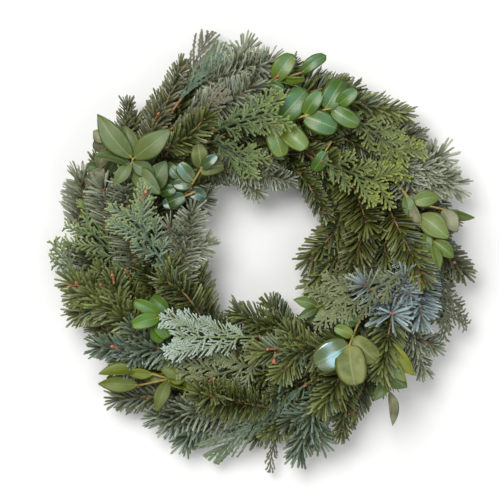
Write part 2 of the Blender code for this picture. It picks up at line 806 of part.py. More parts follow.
def needle_shell(root, tip):
    """A thin prism round a needle, a little wider than it, for testing what it would cross."""
    along = (tip - root).normalized()
    across = along.orthogonal().normalized()
    other = along.cross(across)
    points = []
    for middle, radius in ((root, NEEDLE_RADIUS + 0.45 * MM), (tip + along * 0.4 * MM, 0.5 * MM)):
        for k in range(4):
            turn = math.pi / 2 * k
            points.append(middle + (across * math.cos(turn) + other * math.sin(turn)) * radius)
    sides = [(k, (k + 1) % 4, 4 + (k + 1) % 4, 4 + k) for k in range(4)]
    return BVHTree.FromPolygons(points, [*sides, (0, 1, 2, 3), (4, 5, 6, 7)])


def needle_free(root, tip, others):
    if min(root.z, tip.z) < LEAST_HEIGHT + NEEDLE_RADIUS:
        return False
    shell = needle_shell(root, tip)
    return not any(shell.overlap(tree) for tree in others)


def fir_needles(name, kind, line, first, twigs, others, folder):
    """Needles all round the shoots. One that would cross another spray turns aside or is left out."""
    length, spacing, _ = NEEDLES[kind]
    chance = random.Random(name)
    needles = []
    shown = line[first:]
    shoots = [(shown, line_length(shown)), *(([root, tip], (tip - root).length) for root, tip in twigs)]
    for shoot, reach in shoots:
        count = max(3, round(reach / MM / (spacing if shoot is shown else spacing * TWIG_THINNING)))
        turn = chance.uniform(0, 360)
        for k in range(count):
            along = min(1.0, (k + 0.6) / count)
            turn += 137.5
            needles += one_needle(shoot, along, turn, length * MM, chance, others, folder)
        for k in range(TIP_NEEDLES):
            turn += 360 / TIP_NEEDLES
            needles += one_needle(shoot, 0.985, turn, length * 0.8 * MM, chance, others, folder, lean=24)
    return needles


def one_needle(shoot, along, turn, length, chance, others, folder, lean=None):
    root, ahead = spot_on(shoot, along)
    up = foliage_up(root)
    side = ahead.cross(up).normalized()
    up = side.cross(ahead)
    if lean is None:
        lean = 58 - 22 * along + chance.uniform(-5, 5)
    length *= chance.uniform(0.86, 1.08)
    for shift in (0, 22, -22, 44, -44, 70, -70):
        for share in (1.0, 0.8):
            around = math.radians(turn + shift)
            out = side * math.cos(around) + up * math.sin(around)
            away = ahead * math.cos(math.radians(lean)) + out * math.sin(math.radians(lean))
            tip = root + away * length * share
            if needle_free(root, tip, others):
                return [cone_between("needle", root, tip, NEEDLE_RADIUS, 0, 3, folder)]
    return []


def volume(mesh):
    shape = bmesh.new()
    shape.from_mesh(mesh)
    size = abs(shape.calc_volume())
    shape.free()
    return size


def closed_body(mesh):
    """Drops all but the mesh's largest body, and says whether that one is closed."""
    shape = bmesh.new()
    shape.from_mesh(mesh)
    left, bodies = set(shape.faces), []
    while left:
        body, edge = [], [left.pop()]
        while edge:
            face = edge.pop()
            body.append(face)
            near = {other for side in face.edges for other in side.link_faces} & left
            left -= near
            edge += near
        bodies.append(body)
    bodies.sort(key=len)
    bmesh.ops.delete(shape, geom=[face for body in bodies[:-1] for face in body], context="FACES")
    closed = bool(shape.faces) and all(len(edge.link_faces) == 2 for edge in shape.edges)
    shape.to_mesh(mesh)
    shape.free()
    return closed


def join(name, core, repeats, folder):
    """One solid of a stem and all that grows on it."""
    gather = bpy.data.collections.new("repeats")
    bpy.context.scene.collection.children.link(gather)
    for item in repeats:
        move_to(item, gather)
    union = core.modifiers.new("join", "BOOLEAN")
    union.operation = "UNION"
    union.operand_type = "COLLECTION"
    union.collection = gather
    whole = sum(volume(item.data) for item in [core, *repeats])
    for solver in ("EXACT", "MANIFOLD"):
        union.solver = solver
        mesh = evaluated_mesh(core)
        if closed_body(mesh) and volume(mesh) > LEAST_KEPT * whole:
            break
    else:
        print(name, "is not joined well")
    made = mesh_object(name, mesh, folder)
    for item in [core, *gather.objects]:
        bpy.data.objects.remove(item, do_unlink=True)
    bpy.data.collections.remove(gather)
    return made


def centre(items):
    """The move that brings the middle of the whole wreath, seen from above, to the origin."""
    graph = bpy.context.evaluated_depsgraph_get()
    points = []
    for item in items:
        points += [item.matrix_world @ Vector(corner) for corner in item.evaluated_get(graph).bound_box]
    low = Vector((min(point[k] for point in points) for k in range(3)))
    high = Vector((max(point[k] for point in points) for k in range(3)))
    shift = (low + high) / -2
    shift.z = 0
    return Matrix.Translation(shift)


def main():
    clear_scene()
    wreath = collection("advent_wreath")
    cutters = collection("cutters", hidden=True)
    work = collection("work")
    lines = lay_all()
    roll = straw_roll(wreath, cutters)
    wire_line = wire_points()
    wire = tube("binding_wire", wire_line, [WIRE_RADIUS] * len(wire_line), wreath, closed=True)
    wire.data.materials.append(material("wire", WIRE_COLOUR, 0.45, 0.3))

    parts = {}
    for name, kind, _, _, _, twigs, leaves in SPRIGS:
        line, first = lines[name]
        stem = square_tube("stem", line, stem_radii(len(line)), work)
        repeats = []
        twig_lines = sprig_twigs(line[first:], twigs)
        for twig in twig_lines[1:]:
            repeats.append(square_tube("twig", twig, [TWIG_RADIUS] * len(twig), work))
        for number, (twig, along, angle, length, width) in enumerate(leaves):
            root, _ = leaf_root(twig_lines[twig], along)
            frame = leaf_frame(angle, length * MM, width * MM, number)
            repeats.append(leaf_object(kind, root, frame, length * MM, work))
        parts[name] = (stem, repeats, LEAF_COLOURS[kind], 0.35)
    for name, _, _, _, _, width, count, colour in FRONDS:
        line, first = lines[name]
        shown = line[first:]
        kept = [*line[:first], spot_on(shown, FROND_STEM_END / line_length(shown))[0]]
        stem = square_tube("stem", kept, stem_radii(len(kept), 1.0 * MM), work)
        blade = frond_object("frond", line[first:], width, count, work)
        parts[name] = (stem, [blade], FROND_COLOURS[colour], 0.6)
    for name, kind, _, _, _ in FIR_SPRAYS:
        line, first = lines[name]
        stem = square_tube("stem", line, stem_radii(len(line)), work)
        repeats = []
        for root, tip in side_twigs(line[first:], line_length(line[first:])):
            repeats.append(square_tube("twig", [root, tip], [TWIG_RADIUS] * 2, work))
        parts[name] = (stem, repeats, NEEDLES[kind][2], 0.5)

    bpy.context.view_layer.update()
    trees = {name: search_tree([stem, *repeats]) for name, (stem, repeats, _, _) in parts.items()}
    trees["straw_ring"] = BVHTree.FromObject(roll, bpy.context.evaluated_depsgraph_get())
    wire_mesh = evaluated_mesh(wire)
    trees["binding_wire"] = BVHTree.FromPolygons(
        [vertex.co.copy() for vertex in wire_mesh.vertices],
        [tuple(polygon.vertices) for polygon in wire_mesh.polygons],
    )
    for name, kind, _, _, _ in FIR_SPRAYS:
        line, first = lines[name]
        stem, repeats, _, _ = parts[name]
        others = [tree for other, tree in trees.items() if other != name]
        twigs = side_twigs(line[first:], line_length(line[first:]))
        repeats += fir_needles(name, kind, line, first, twigs, others, work)
        trees[name] = search_tree([stem, *repeats])

    for name, (stem, repeats, colour, roughness) in parts.items():
        solid = join(name, stem, repeats, wreath)
        solid.data.materials.clear()
        solid.data.materials.append(material(name, colour, roughness))
    bpy.data.collections.remove(work)
    bpy.context.view_layer.update()
    move = centre(wreath.objects)
    for item in [*wreath.objects, *cutters.objects]:
        item.matrix_world = move @ item.matrix_world


main()
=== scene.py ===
"""The advent wreath as it looks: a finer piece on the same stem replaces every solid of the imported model.

The tables and the laying of the sprays are those of the model, in the same units, so each stem comes out
where its solid is. Angles and distances are measured from the ring's middle, and the finished meshes are
then moved to where the straw ring's solid lies.
"""

import math
import random

import bmesh
import bpy
import numpy as np
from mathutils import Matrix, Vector
from mathutils.bvhtree import BVHTree
from mathutils.geometry import interpolate_bezier

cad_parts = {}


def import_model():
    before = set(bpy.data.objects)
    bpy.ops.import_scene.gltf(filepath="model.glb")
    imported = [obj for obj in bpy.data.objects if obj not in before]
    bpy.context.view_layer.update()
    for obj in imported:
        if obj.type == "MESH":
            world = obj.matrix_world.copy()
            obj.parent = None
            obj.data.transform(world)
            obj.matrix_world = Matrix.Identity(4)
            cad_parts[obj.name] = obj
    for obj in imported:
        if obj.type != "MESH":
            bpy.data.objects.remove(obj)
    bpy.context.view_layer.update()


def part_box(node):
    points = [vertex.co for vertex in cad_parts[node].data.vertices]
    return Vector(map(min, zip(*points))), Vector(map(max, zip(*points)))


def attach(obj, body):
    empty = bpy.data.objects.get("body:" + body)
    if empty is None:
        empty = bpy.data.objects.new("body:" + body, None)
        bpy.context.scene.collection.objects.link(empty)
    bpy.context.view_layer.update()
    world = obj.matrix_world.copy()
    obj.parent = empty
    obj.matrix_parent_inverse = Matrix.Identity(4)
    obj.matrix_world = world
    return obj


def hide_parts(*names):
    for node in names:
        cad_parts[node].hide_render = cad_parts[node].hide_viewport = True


MM = 0.001
UP = Vector((0, 0, 1))

# The straw roll
RING_RADIUS = 104 * MM
STRAW_RADIUS = 18 * MM
STRAW_HEIGHT = 16.5 * MM  # of the roll's middle. The roll is flat where it would reach below the surface
STRAW_STEPS = 42  # three for each turn of the wire, so that every groove is in the middle of a face
STRAW_SIDES = 10  # leaves the roll a flat band underneath

# The binding wire
WIRE_TURNS = 14
WIRE_PITCH = 360 / WIRE_TURNS
WIRE_RADIUS = 0.45 * MM
WIRE_REACH = 23.6 * MM  # from the roll's middle, over the stems
WIRE_FLOOR = 0.85 * MM  # height of the wire where it passes under the roll
WIRE_LOW = -50  # tube angle under the outer side. Below it the wire goes straight across, under the roll
WIRE_OVER = (-20, 200)
WIRE_OVER_STEPS = 5

# Stems
FOOT_RADIUS = 1.3 * MM
TIP_RADIUS = 1.15 * MM
TWIG_RADIUS = 1.15 * MM
FOOT_BEHIND = 3.6  # degrees that a cut end reaches back from its turn of wire
FOOT_AHEAD = 2.0  # degrees that a stem goes on along the straw past the wire
LEAST_LEAD = 8.0  # degrees from the wire to where a spray comes into view
SQUARE = 0.71  # half the side of a stem's square section, as a share of its radius
REST_GAP = 0.3 * MM  # between touching pieces
CROWN_BASE = 13 * MM  # height of the foliage's edge
CROWN_SPREAD = 78 * MM  # from the roll's middle to that edge, seen from above
START_HEIGHT, START_STEP = 31 * MM, 8 * MM  # of a spray's start over the base, and for each layer
END_HEIGHT, END_STEP = 42 * MM, 10 * MM
LIFTS = (0, 3, -3, 6, -6, 9, -9, 12, 15, 18)  # millimetres tried for a spray that is in another's way
SIDE_STEPS = (0, 12, -12, 24, -24, 36, -36)
TURN_STEPS = (0, 1)
LEAST_HEIGHT = 1.2 * MM  # of any foliage over the surface
CHORD_DIP = 0.15 * MM  # of a straight cut end between two turns of the curved roll
FINE_HIDDEN, FINE_SHOWN = 6, 9  # steps of a stem's finer line in the scene
SIDE_SHOOT_LEAN = math.radians(40)

# Blades
LEAF_SHEET_GAP = 0.26  # of a leaf's half width: how thick a leaf counts while the sprays are laid
LEAST_LEAF_WIDTH = 0.4  # of its length. A leaf that looks narrower is turned on its edge
FROND_RIB = 1.2 * MM  # half the width of a frond's rib
FROND_LEAST = 4.5 * MM  # length of its shortest side branch
FROND_SAG = 7.0  # how far its sheet drops at the sides, for each squared metre from the rib

# name, kind, start (angle, distance), tip (angle, distance), layer from 0, below, to 2, on top
FIR_SPRAYS = (
    ("noble_fir_01", "noble", (113, 143), (89, 150), 1),
    ("fir_02", "dark", (129, 134), (115, 162), 0),
    ("fir_03", "dark", (150, 134), (134, 160), 0),
    ("fir_04", "green", (175, 140), (160, 153), 0),
    ("noble_fir_05", "noble", (176, 108), (155, 121), 1),
    ("noble_fir_06", "noble", (203, 74), (153, 65), 1),
    ("fir_07", "green", (213, 119), (190, 157), 1),
    ("fir_08", "dark", (206, 102), (189, 130), 0),
    ("fir_09", "green", (230, 74), (202, 58), 0),
    ("fir_10", "dark", (229, 107), (211, 153), 1),
    ("fir_11", "dark", (235, 147), (226, 169), 0),
    ("fir_12", "green", (262, 122), (247, 125), 1),
    ("fir_13", "green", (267, 137), (238, 160), 0),
    ("fir_14", "green", (298, 78), (250, 56), 0),
    ("fir_15", "green", (306, 95), (268, 81), 1),
    ("fir_16", "green", (292, 126), (280, 164), 0),
    ("fir_17", "dark", (302, 128), (293, 160), 0),
    ("fir_18", "green", (305, 113), (291, 131), 1),
    ("fir_19", "green", (328, 116), (314, 132), 1),
    ("noble_fir_20", "noble", (342, 107), (332, 112), 2),
    ("noble_fir_21", "noble", (354, 121), (337, 134), 1),
    ("fir_22", "dark", (338, 120), (323, 160), 0),
    ("fir_23", "dark", (3, 136), (354, 160), 0),
    ("fir_24", "green", (12, 105), (351, 124), 2),
    ("fir_25", "green", (20, 87), (351, 71), 1),
    ("fir_26", "green", (22, 66), (348, 38), 0),
    ("fir_27", "dark", (65, 66), (31, 56), 0),
    ("noble_fir_28", "noble", (37, 86), (15, 83), 1),
    ("noble_fir_29", "noble", (41, 121), (19, 158), 1),
    ("fir_30", "green", (62, 135), (45, 155), 0),
    ("noble_fir_31", "noble", (122, 75), (72, 58), 0),
    ("fir_32", "green", (81, 124), (66, 144), 0),
)

# name, kind, start, tip, layer, width, number of side branches on either side, colour
FRONDS = (
    ("cypress_01", "cypress", (188, 113), (172, 146), 1, 44, 4, "green"),
    ("cypress_02", "cypress", (189, 81), (163, 111), 2, 44, 4, "blue"),
    ("cypress_03", "cypress", (190, 146), (180, 173), 0, 22, 4, "green"),
    ("cypress_04", "cypress", (264, 70), (224, 98), 2, 48, 5, "silver"),
    ("cypress_05", "cypress", (272, 88), (243, 117), 1, 42, 4, "olive"),
    ("cypress_06", "cypress", (357, 131), (337, 164), 1, 34, 4, "olive"),
    ("cypress_07", "cypress", (350, 108), (318, 63), 1, 42, 4, "olive"),
    ("cypress_08", "cypress", (57, 125), (32, 132), 2, 38, 4, "green"),
    ("cypress_09", "cypress", (57, 82), (27, 107), 2, 36, 4, "green"),
    ("cypress_10", "cypress", (112, 102), (85, 108), 2, 34, 4, "green"),
    ("cypress_11", "cypress", (117, 96), (97, 66), 1, 28, 4, "green"),
    ("juniper_12", "juniper", (120, 142), (104, 183), 0, 13, 4, "brown"),
    ("juniper_13", "juniper", (119, 138), (100, 168), 1, 20, 4, "blue"),
    ("juniper_14", "juniper", (285, 114), (255, 176), 1, 20, 4, "blue"),
    ("juniper_15", "juniper", (126, 122), (103, 128), 1, 18, 4, "brown"),
)

# name, kind, start, tip, layer, side twigs (along, heading, length),
# leaves (twig, along, heading seen from above, length, width seen from above)
SPRIGS = (
    ("box_sprig_01", "box", (87, 98), (63, 126), 2, (), (
        (0, 0.06, 48, 37, 20), (0, 0.5, 55, 24, 13), (0, 0.8, 59, 28, 18), (0, 0.98, 40, 21, 12),
        (0, 0.48, -21, 29, 19), (0, 0.9, -30, 26, 14), (0, 0.12, -44, 31, 17), (0, 0.0, -71, 27, 17),
    )),
    ("box_sprig_02", "box", (91, 131), (78, 144), 1, (), (
        (0, 0.3, 54, 26, 16), (0, 0.5, -5, 19, 6), (0, 0.35, -14, 20, 6), (0, 0.1, -20, 16, 8),
        (0, 1.0, 35, 24, 11),
    )),
    ("privet_sprig_03", "privet", (155, 121), (145.5, 126), 2, (), (
        (0, 1.0, 128, 45, 19), (0, 1.0, 37, 39, 19), (0, 0.95, 103, 28, 14), (0, 0.75, 165, 31, 10),
        (0, 0.85, 232, 24, 11), (0, 0.85, -25, 20, 14), (0, 0.6, -40, 33, 18),
    )),
    ("privet_sprig_04", "privet", (162, 139), (149, 150), 0, (), (
        (0, 1.0, 110, 17, 13), (0, 0.6, 165, 15, 12), (0, 0.2, 150, 17, 13), (0, 0.8, 70, 15, 10),
    )),
    ("box_sprig_05", "box", (150, 76), (128, 81), 2, (), (
        (0, 1.0, 97, 20, 14), (0, 0.98, 41, 17, 9), (0, 0.9, 14, 20, 13), (0, 0.6, 130, 19, 13),
        (0, 0.55, 186, 16, 11), (0, 0.1, 117, 21, 13), (0, 0.05, 196, 18, 12), (0, 0.3, -22, 16, 12),
    )),
    ("privet_sprig_06", "privet", (22, 119), (2, 133), 2, ((0.2, -12, 28),), (
        (0, 0.02, -80, 21, 11), (0, 0.2, -70, 23, 8), (0, 0.2, 10, 24, 14), (0, 0.45, -39, 31, 19),
        (0, 0.75, -88, 22, 9), (0, 0.95, -39, 22, 12), (0, 1.0, -78, 24, 9), (1, 1.0, -17, 25, 8),
        (1, 0.9, -58, 22, 15),
    )),
    ("box_sprig_07", "box", (322, 94), (311, 100), 2, (), (
        (0, 1.0, -151, 32, 24), (0, 1.0, -83, 33, 25), (0, 0.7, -42, 27, 18), (0, 0.6, 155, 17, 10),
        (0, 0.0, 162, 21, 15),
    )),
    ("privet_sprig_08", "privet", (323, 119), (311, 151), 2, (), (
        (0, 0.3, -51, 27, 12), (0, 0.1, -28, 13, 8), (0, 0.6, -38, 21, 14), (0, 0.75, -124, 21, 10),
        (0, 1.0, -83, 28, 9),
    )),
    ("privet_sprig_09", "privet", (326, 70), (312, 62), 2, (), (
        (0, 1.0, 164, 21, 10), (0, 1.0, 208, 20, 8), (0, 0.6, -137, 22, 11), (0, 0.8, 105, 14, 7),
    )),
    ("box_sprig_10", "box", (222, 91), (212.5, 99), 2, (), (
        (0, 0.8, 149, 27, 11), (0, 1.0, 196, 23, 12), (0, 0.6, -120, 20, 15), (0, 0.35, -62, 14, 9),
        (0, 0.55, 166, 19, 10),
    )),
    ("privet_sprig_11", "privet", (240, 117), (227, 149), 1, ((0.4, 164, 27),), (
        (0, 1.0, 178, 33, 14), (0, 0.4, -112, 29, 12), (0, 0.5, -18, 27, 9), (0, 0.0, -70, 16, 13),
        (1, 0.5, 176, 23, 9), (1, 1.0, 184, 32, 10), (1, 0.1, 12, 20, 13),
    )),
)


def place(angle, distance, height=0.0):
    turn = math.radians(angle)
    return Vector((distance * math.cos(turn), distance * math.sin(turn), height))


def on_roll(ring_angle, tube_angle, reach):
    """The point at this distance from the roll's middle line, at a tube angle of 0 outside and 90 on top."""
    tilt = math.radians(tube_angle)
    return place(ring_angle, RING_RADIUS + reach * math.cos(tilt), STRAW_HEIGHT + reach * math.sin(tilt))


def straw_gaps(points):
    """How far each point is from the straw roll's surface, which is made of flat faces."""
    points = np.asarray(points, float).reshape(-1, 3)
    step = math.tau / STRAW_STEPS
    turned = np.arctan2(points[:, 1], points[:, 0]) % step - step / 2
    out = np.hypot(points[:, 0], points[:, 1]) * np.cos(turned) / math.cos(step / 2) - RING_RADIUS
    up = points[:, 2] - STRAW_HEIGHT
    step = math.tau / STRAW_SIDES
    turned = np.arctan2(up, out) % step - step / 2
    return np.hypot(out, up) * np.cos(turned) - STRAW_RADIUS * math.cos(step / 2)


def heading(angle):
    return place(angle, 1.0)


def roll_middle(point):
    flat = Vector((point.x, point.y, 0))
    return flat.normalized() * RING_RADIUS + UP * STRAW_HEIGHT


def foliage_up(point):
    """Which way a spray faces here: halfway between straight up and straight away from the roll."""
    return ((point - roll_middle(point)).normalized() + 1.4 * UP).normalized()


def crown(distance, rise):
    """Height of a spray's point, which falls off towards the foliage's inner and outer edges."""
    off = min(1.0, abs(distance - RING_RADIUS) / CROWN_SPREAD)
    return CROWN_BASE + rise * math.cos(math.pi / 2 * off)


def bottom_angle(turn):
    return WIRE_PITCH * (turn + 0.5)


def wire_advance(tube_angle):
    """How far round its pitch the wire has come at this tube angle: none of it lies under the roll."""
    return (tube_angle - WIRE_LOW) / (180 - 2 * WIRE_LOW)


def wire_angle(turn, tube_angle):
    return bottom_angle(turn) + WIRE_PITCH * wire_advance(tube_angle)


def wire_stations():
    first, last = WIRE_OVER
    over = [first + (last - first) * k / WIRE_OVER_STEPS for k in range(WIRE_OVER_STEPS + 1)]
    return [WIRE_LOW, *over, 180 - WIRE_LOW]


def wire_point(turn, tube_angle, reach):
    """A point of the wire, this far from the roll's middle or nearer where the surface is in the way."""
    down = -math.sin(math.radians(tube_angle))
    if down > 0:
        reach = min(reach, (STRAW_HEIGHT - WIRE_FLOOR) / down)
    return on_roll(wire_angle(turn, tube_angle), tube_angle, reach)


def wire_points():
    return [wire_point(turn, angle, WIRE_REACH) for turn in range(WIRE_TURNS) for angle in wire_stations()]


def bezier(start, end, leaving, arriving, steps):
    third = (end - start).length / 3
    return interpolate_bezier(start, start + leaving * third, end - arriving * third, end, steps + 1)


def stem_line(start, tip, layer, turn_step, side_step, lift, before=2, after=3):
    """The stem from its cut end to its tip, and the number of the point where it comes into view."""
    near = place(start[0], start[1] * MM, crown(start[1] * MM, START_HEIGHT + START_STEP * layer) + lift)
    far = place(tip[0], tip[1] * MM, crown(tip[1] * MM, END_HEIGHT + END_STEP * layer) + lift)
    side = 90 - 2.2 * (start[1] - RING_RADIUS / MM)
    side = min(180.0, max(0.0, side)) + side_step
    wanted = start[0] + LEAST_LEAD - WIRE_PITCH * (0.5 + wire_advance(side))
    turn = math.ceil(wanted / WIRE_PITCH) + turn_step
    crossing = wire_angle(turn, side)
    reach = STRAW_RADIUS
    for _ in range(3):
        foot = on_roll(crossing + FOOT_BEHIND, side, reach)
        leaving = on_roll(crossing - FOOT_AHEAD, side, reach)
        gap = straw_gaps([foot.lerp(leaving, t / 8) for t in range(9)]).min()
        reach += FOOT_RADIUS * SQUARE + REST_GAP - gap
    along = (leaving - foot).normalized()
    ahead = (far - near).normalized()
    middle = (along + 2 * ahead).normalized()
    hidden = bezier(leaving, near, along, middle, before)
    shown = bezier(near, far, middle, (ahead - 0.15 * UP).normalized(), after)
    return [foot, *hidden, *shown[1:]], before + 1


def spot_on(line, along):
    """The point at this share of the line's length, and the line's direction there, which turns evenly."""
    lengths = [(b - a).length for a, b in zip(line, line[1:])]
    ways = [(b - a).normalized() for a, b in zip(line, line[1:])]
    corners = [ways[0], *((one + two).normalized() for one, two in zip(ways, ways[1:])), ways[-1]]
    left = along * sum(lengths)
    for k, length in enumerate(lengths):
        if left <= length or k == len(lengths) - 1:
            share = min(1.0, left / length)
            return line[k].lerp(line[k + 1], share), corners[k].lerp(corners[k + 1], share).normalized()
        left -= length


def line_bones(points, radii):
    return [(a, b, max(r, s)) for a, b, r, s in zip(points, points[1:], radii, radii[1:])]


def stem_radii(count, tip=TIP_RADIUS):
    return [FOOT_RADIUS + (tip - FOOT_RADIUS) * k / (count - 1) for k in range(count)]


def side_twigs(shown, length):
    """A long fir shoot's two side shoots, as (root, tip)."""
    twigs = []
    if length < 50 * MM:
        return twigs
    for along, side, share in ((0.22, 1, 0.46), (0.42, -1, 0.4)):
        root, ahead = spot_on(shown, along)
        across = ahead.cross(foliage_up(root)).normalized()
        turned = (ahead * math.cos(SIDE_SHOOT_LEAN) + across * side * math.sin(SIDE_SHOOT_LEAN)).normalized()
        twigs.append((root, root + turned * length * share))
    return twigs


def line_length(line):
    return sum((b - a).length for a, b in zip(line, line[1:]))


def fir_bones(shown):
    return [(a, b, TWIG_RADIUS) for a, b in side_twigs(shown, line_length(shown))]


def frond_branches(width, count):
    """The side branches of a flat frond, as (along the rib, side, length, lean)."""
    branches = []
    for k in range(count):
        for side in (-1, 1):
            along = (k + 0.3 + 0.25 * side) / count * 0.94
            swell = math.sin(math.pi * (0.22 + 0.78 * (1 - along)) ** 1.15)
            branches.append((along, side, max(FROND_LEAST, width / 2 * (0.3 + 0.95 * swell)), 42))
    return branches


def frond_point(shown, length, along, across):
    """The point of a frond's middle sheet at this distance along its rib and across it."""
    root, ahead = spot_on(shown, min(1.0, max(0.0, along / length)))
    root = root + ahead * (min(0.0, along) + max(0.0, along - length))
    up = foliage_up(root)
    side = ahead.cross(up).normalized()
    up = side.cross(ahead)
    return root + side * across - up * (across * across * FROND_SAG)


def frond_bones(shown, width, count):
    length = line_length(shown)
    bones = []
    for along, side, reach, lean in frond_branches(width * MM, count):
        turn = math.radians(lean)
        tip = (along * length + reach * math.cos(turn), side * (FROND_RIB + reach * math.sin(turn)))
        points = [
            frond_point(shown, length, along * length + (tip[0] - along * length) * t, tip[1] * t)
            for t in (0.0, 0.5, 1.0)
        ]
        bones += line_bones(points, [2.0 * MM] * 3)
    return bones


def leaf_frame(angle, length, width, number):
    """A leaf's own axes (along, across, up), and its real width. It leans up a little more or less."""
    real = max(width, LEAST_LEAF_WIDTH * length)
    roll = math.acos(min(1.0, width / real)) * (1 if number % 2 else -1)
    pitch = math.radians(8 + 9 * math.sin(2.4 * number))
    along = (heading(angle) * math.cos(pitch) + UP * math.sin(pitch)).normalized()
    across = UP.cross(along).normalized()
    up = along.cross(across)
    across, up = across * math.cos(roll) + up * math.sin(roll), up * math.cos(roll) - across * math.sin(roll)
    return along, across, up, real


def leaf_half_width(kind, t):
    """A leaf's half width at this share of its length, as a share of its whole width."""
    if kind == "box":
        return 0.5 * math.sqrt(max(0.0, 1 - (2 * t - 1) ** 2)) ** 0.85
    return 0.5 * math.sin(math.pi * t**0.92) ** 0.9


def leaf_point(kind, root, frame, length, t, share):
    """The point of a leaf's middle sheet at t of its length, and at share of its half width from the rib."""
    along, across, up, real = frame
    half = real * leaf_half_width(kind, t)
    arch = 0.09 * length * math.sin(math.pi * t) - 0.05 * length * t * t
    return root + along * (length * t) + across * (half * share) + up * (arch + 0.16 * half * abs(share))


def sprig_twigs(shown, twigs):
    """The shown stem and its side twigs, as lines."""
    lines = [shown]
    for along, angle, length in twigs:
        root, _ = spot_on(shown, along)
        tip = root + (heading(angle) + 0.1 * UP).normalized() * length * MM
        lines.append([root, tip])
    return lines


def leaf_root(line, along):
    """Where a leaf grows from: never so near the line's end that its root would miss the stem."""
    return spot_on(line, min(along, 1 - 0.9 * MM / line_length(line)))


def leaf_bones(kind, root, frame, length):
    bones = []
    thick = max(1.2 * MM, LEAF_SHEET_GAP * frame[3] / 2)
    for share in (-0.62, 0.0, 0.62):
        line = [leaf_point(kind, root, frame, length, t, share) for t in (0.12, 0.4, 0.68, 0.94)]
        bones += line_bones(line, [thick] * len(line))
    return bones


def sprig_bones(kind, shown, twigs, leaves):
    lines = sprig_twigs(shown, twigs)
    bones = []
    for line in lines[1:]:
        bones += line_bones(line, [TWIG_RADIUS] * len(line))
    for number, (twig, along, angle, length, width) in enumerate(leaves):
        root, _ = leaf_root(lines[twig], along)
        frame = leaf_frame(angle, length * MM, width * MM, number)
        bones += leaf_bones(kind, root, frame, length * MM)
    return bones


def segment_gaps(starts, ends, other_starts, other_ends):
    """The distance between every one of these lines and every one of the others."""
    one = (ends - starts)[:, None]
    two = (other_ends - other_starts)[None]
    apart = starts[:, None] - other_starts[None]
    a, e, b = (one * one).sum(-1), (two * two).sum(-1), (one * two).sum(-1)
    c, f = (one * apart).sum(-1), (two * apart).sum(-1)
    s = np.clip((b * f - c * e) / np.maximum(a * e - b * b, 1e-16), 0, 1)
    t = np.clip((b * s + f) / e, 0, 1)
    s = np.clip((b * t - c) / a, 0, 1)
    return np.linalg.norm(apart + one * s[..., None] - two * t[..., None], axis=-1)


class Bones:
    """The thick lines of everything that is already laid."""

    def __init__(self):
        self.starts, self.ends, self.radii = np.empty((0, 3)), np.empty((0, 3)), np.empty(0)

    @staticmethod
    def arrays(bones):
        return (
            np.array([tuple(a) for a, _, _ in bones]),
            np.array([tuple(b) for _, b, _ in bones]),
            np.array([r for _, _, r in bones]),
        )

    def add(self, bones):
        starts, ends, radii = self.arrays(bones)
        self.starts = np.concatenate([self.starts, starts])
        self.ends = np.concatenate([self.ends, ends])
        self.radii = np.concatenate([self.radii, radii])

    def clear_of(self, bones):
        starts, ends, radii = self.arrays(bones)
        if not clear_of_roll(starts, ends, radii):
            return False
        gaps = segment_gaps(starts, ends, self.starts, self.ends)
        return bool((gaps - radii[:, None] - self.radii[None] > REST_GAP - 0.01 * MM).all())


def clear_of_roll(starts, ends, radii):
    """Whether the lines stay out of the straw and off the surface below."""
    for t in (0.0, 0.5, 1.0):
        points = starts + (ends - starts) * t
        if (points[:, 2] - radii < LEAST_HEIGHT).any():
            return False
        if (straw_gaps(points) - radii * SQUARE < REST_GAP - CHORD_DIP).any():
            return False
    return True


def lay(laid, name, start, tip, layer, more_bones, tip_radius=TIP_RADIUS):
    """The first way of laying this spray that is clear of the others: its line, and where it is shown."""
    for lift in LIFTS:
        for turn_step in TURN_STEPS:
            for side_step in SIDE_STEPS:
                line, first = stem_line(start, tip, layer, turn_step, side_step, lift * MM)
                bones = line_bones(line, stem_radii(len(line), tip_radius)) + more_bones(line[first:])
                if laid.clear_of(bones):
                    laid.add(bones)
                    steps = (turn_step, side_step, lift * MM, FINE_HIDDEN, FINE_SHOWN)
                    return stem_line(start, tip, layer, *steps)
    raise RuntimeError(f"{name} finds no free way")


def lay_all():
    """Each spray's line, the ones with the largest leaves first."""
    laid = Bones()
    wire = wire_points()
    laid.add(line_bones([*wire, wire[0]], [WIRE_RADIUS] * (len(wire) + 1)))
    lines = {}
    for name, kind, start, tip, layer, twigs, leaves in SPRIGS:
        lines[name] = lay(
            laid, name, start, tip, layer, lambda shown: sprig_bones(kind, shown, twigs, leaves)
        )
    for name, _, start, tip, layer, width, count, _ in FRONDS:
        lines[name] = lay(
            laid, name, start, tip, layer, lambda shown: frond_bones(shown, width, count), 1.0 * MM
        )
    for name, _, start, tip, layer in FIR_SPRAYS:
        lines[name] = lay(laid, name, start, tip, layer, fir_bones)
    return lines


# Meshes. Every piece is gathered as arrays of triangles. A colour attribute called shade says how light a
# needle, branchlet or leaf is (red), how far along it a point is (green) and, on leaves and scales, how far
# across (blue).

PLAIN_SHADE = (0.5, 0.1, 0.5)
MIDDLE_SHADE = (0.5, 0.5, 0.5)
GOLDEN_TURN = math.radians(137.5)  # from one needle to the next, round the shoot
TIP_NEEDLES = 12  # more needles at the end of each shoot
LEAST_KEPT = 0.45  # share of a needle that has to be clear of the leaves, or the needle is left out
LONG_SHOOT = 62 * MM  # from here on a shoot has two more side shoots
UPPER, LOWER, WOOD, BUD = range(4)  # material slots of shoots. Leaves have the first three
GLOSSY = 3  # a leaf's fourth slot


def ring_middle():
    low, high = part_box("straw_ring")
    return np.array([(low[0] + high[0]) / 2, (low[1] + high[1]) / 2, 0.0])


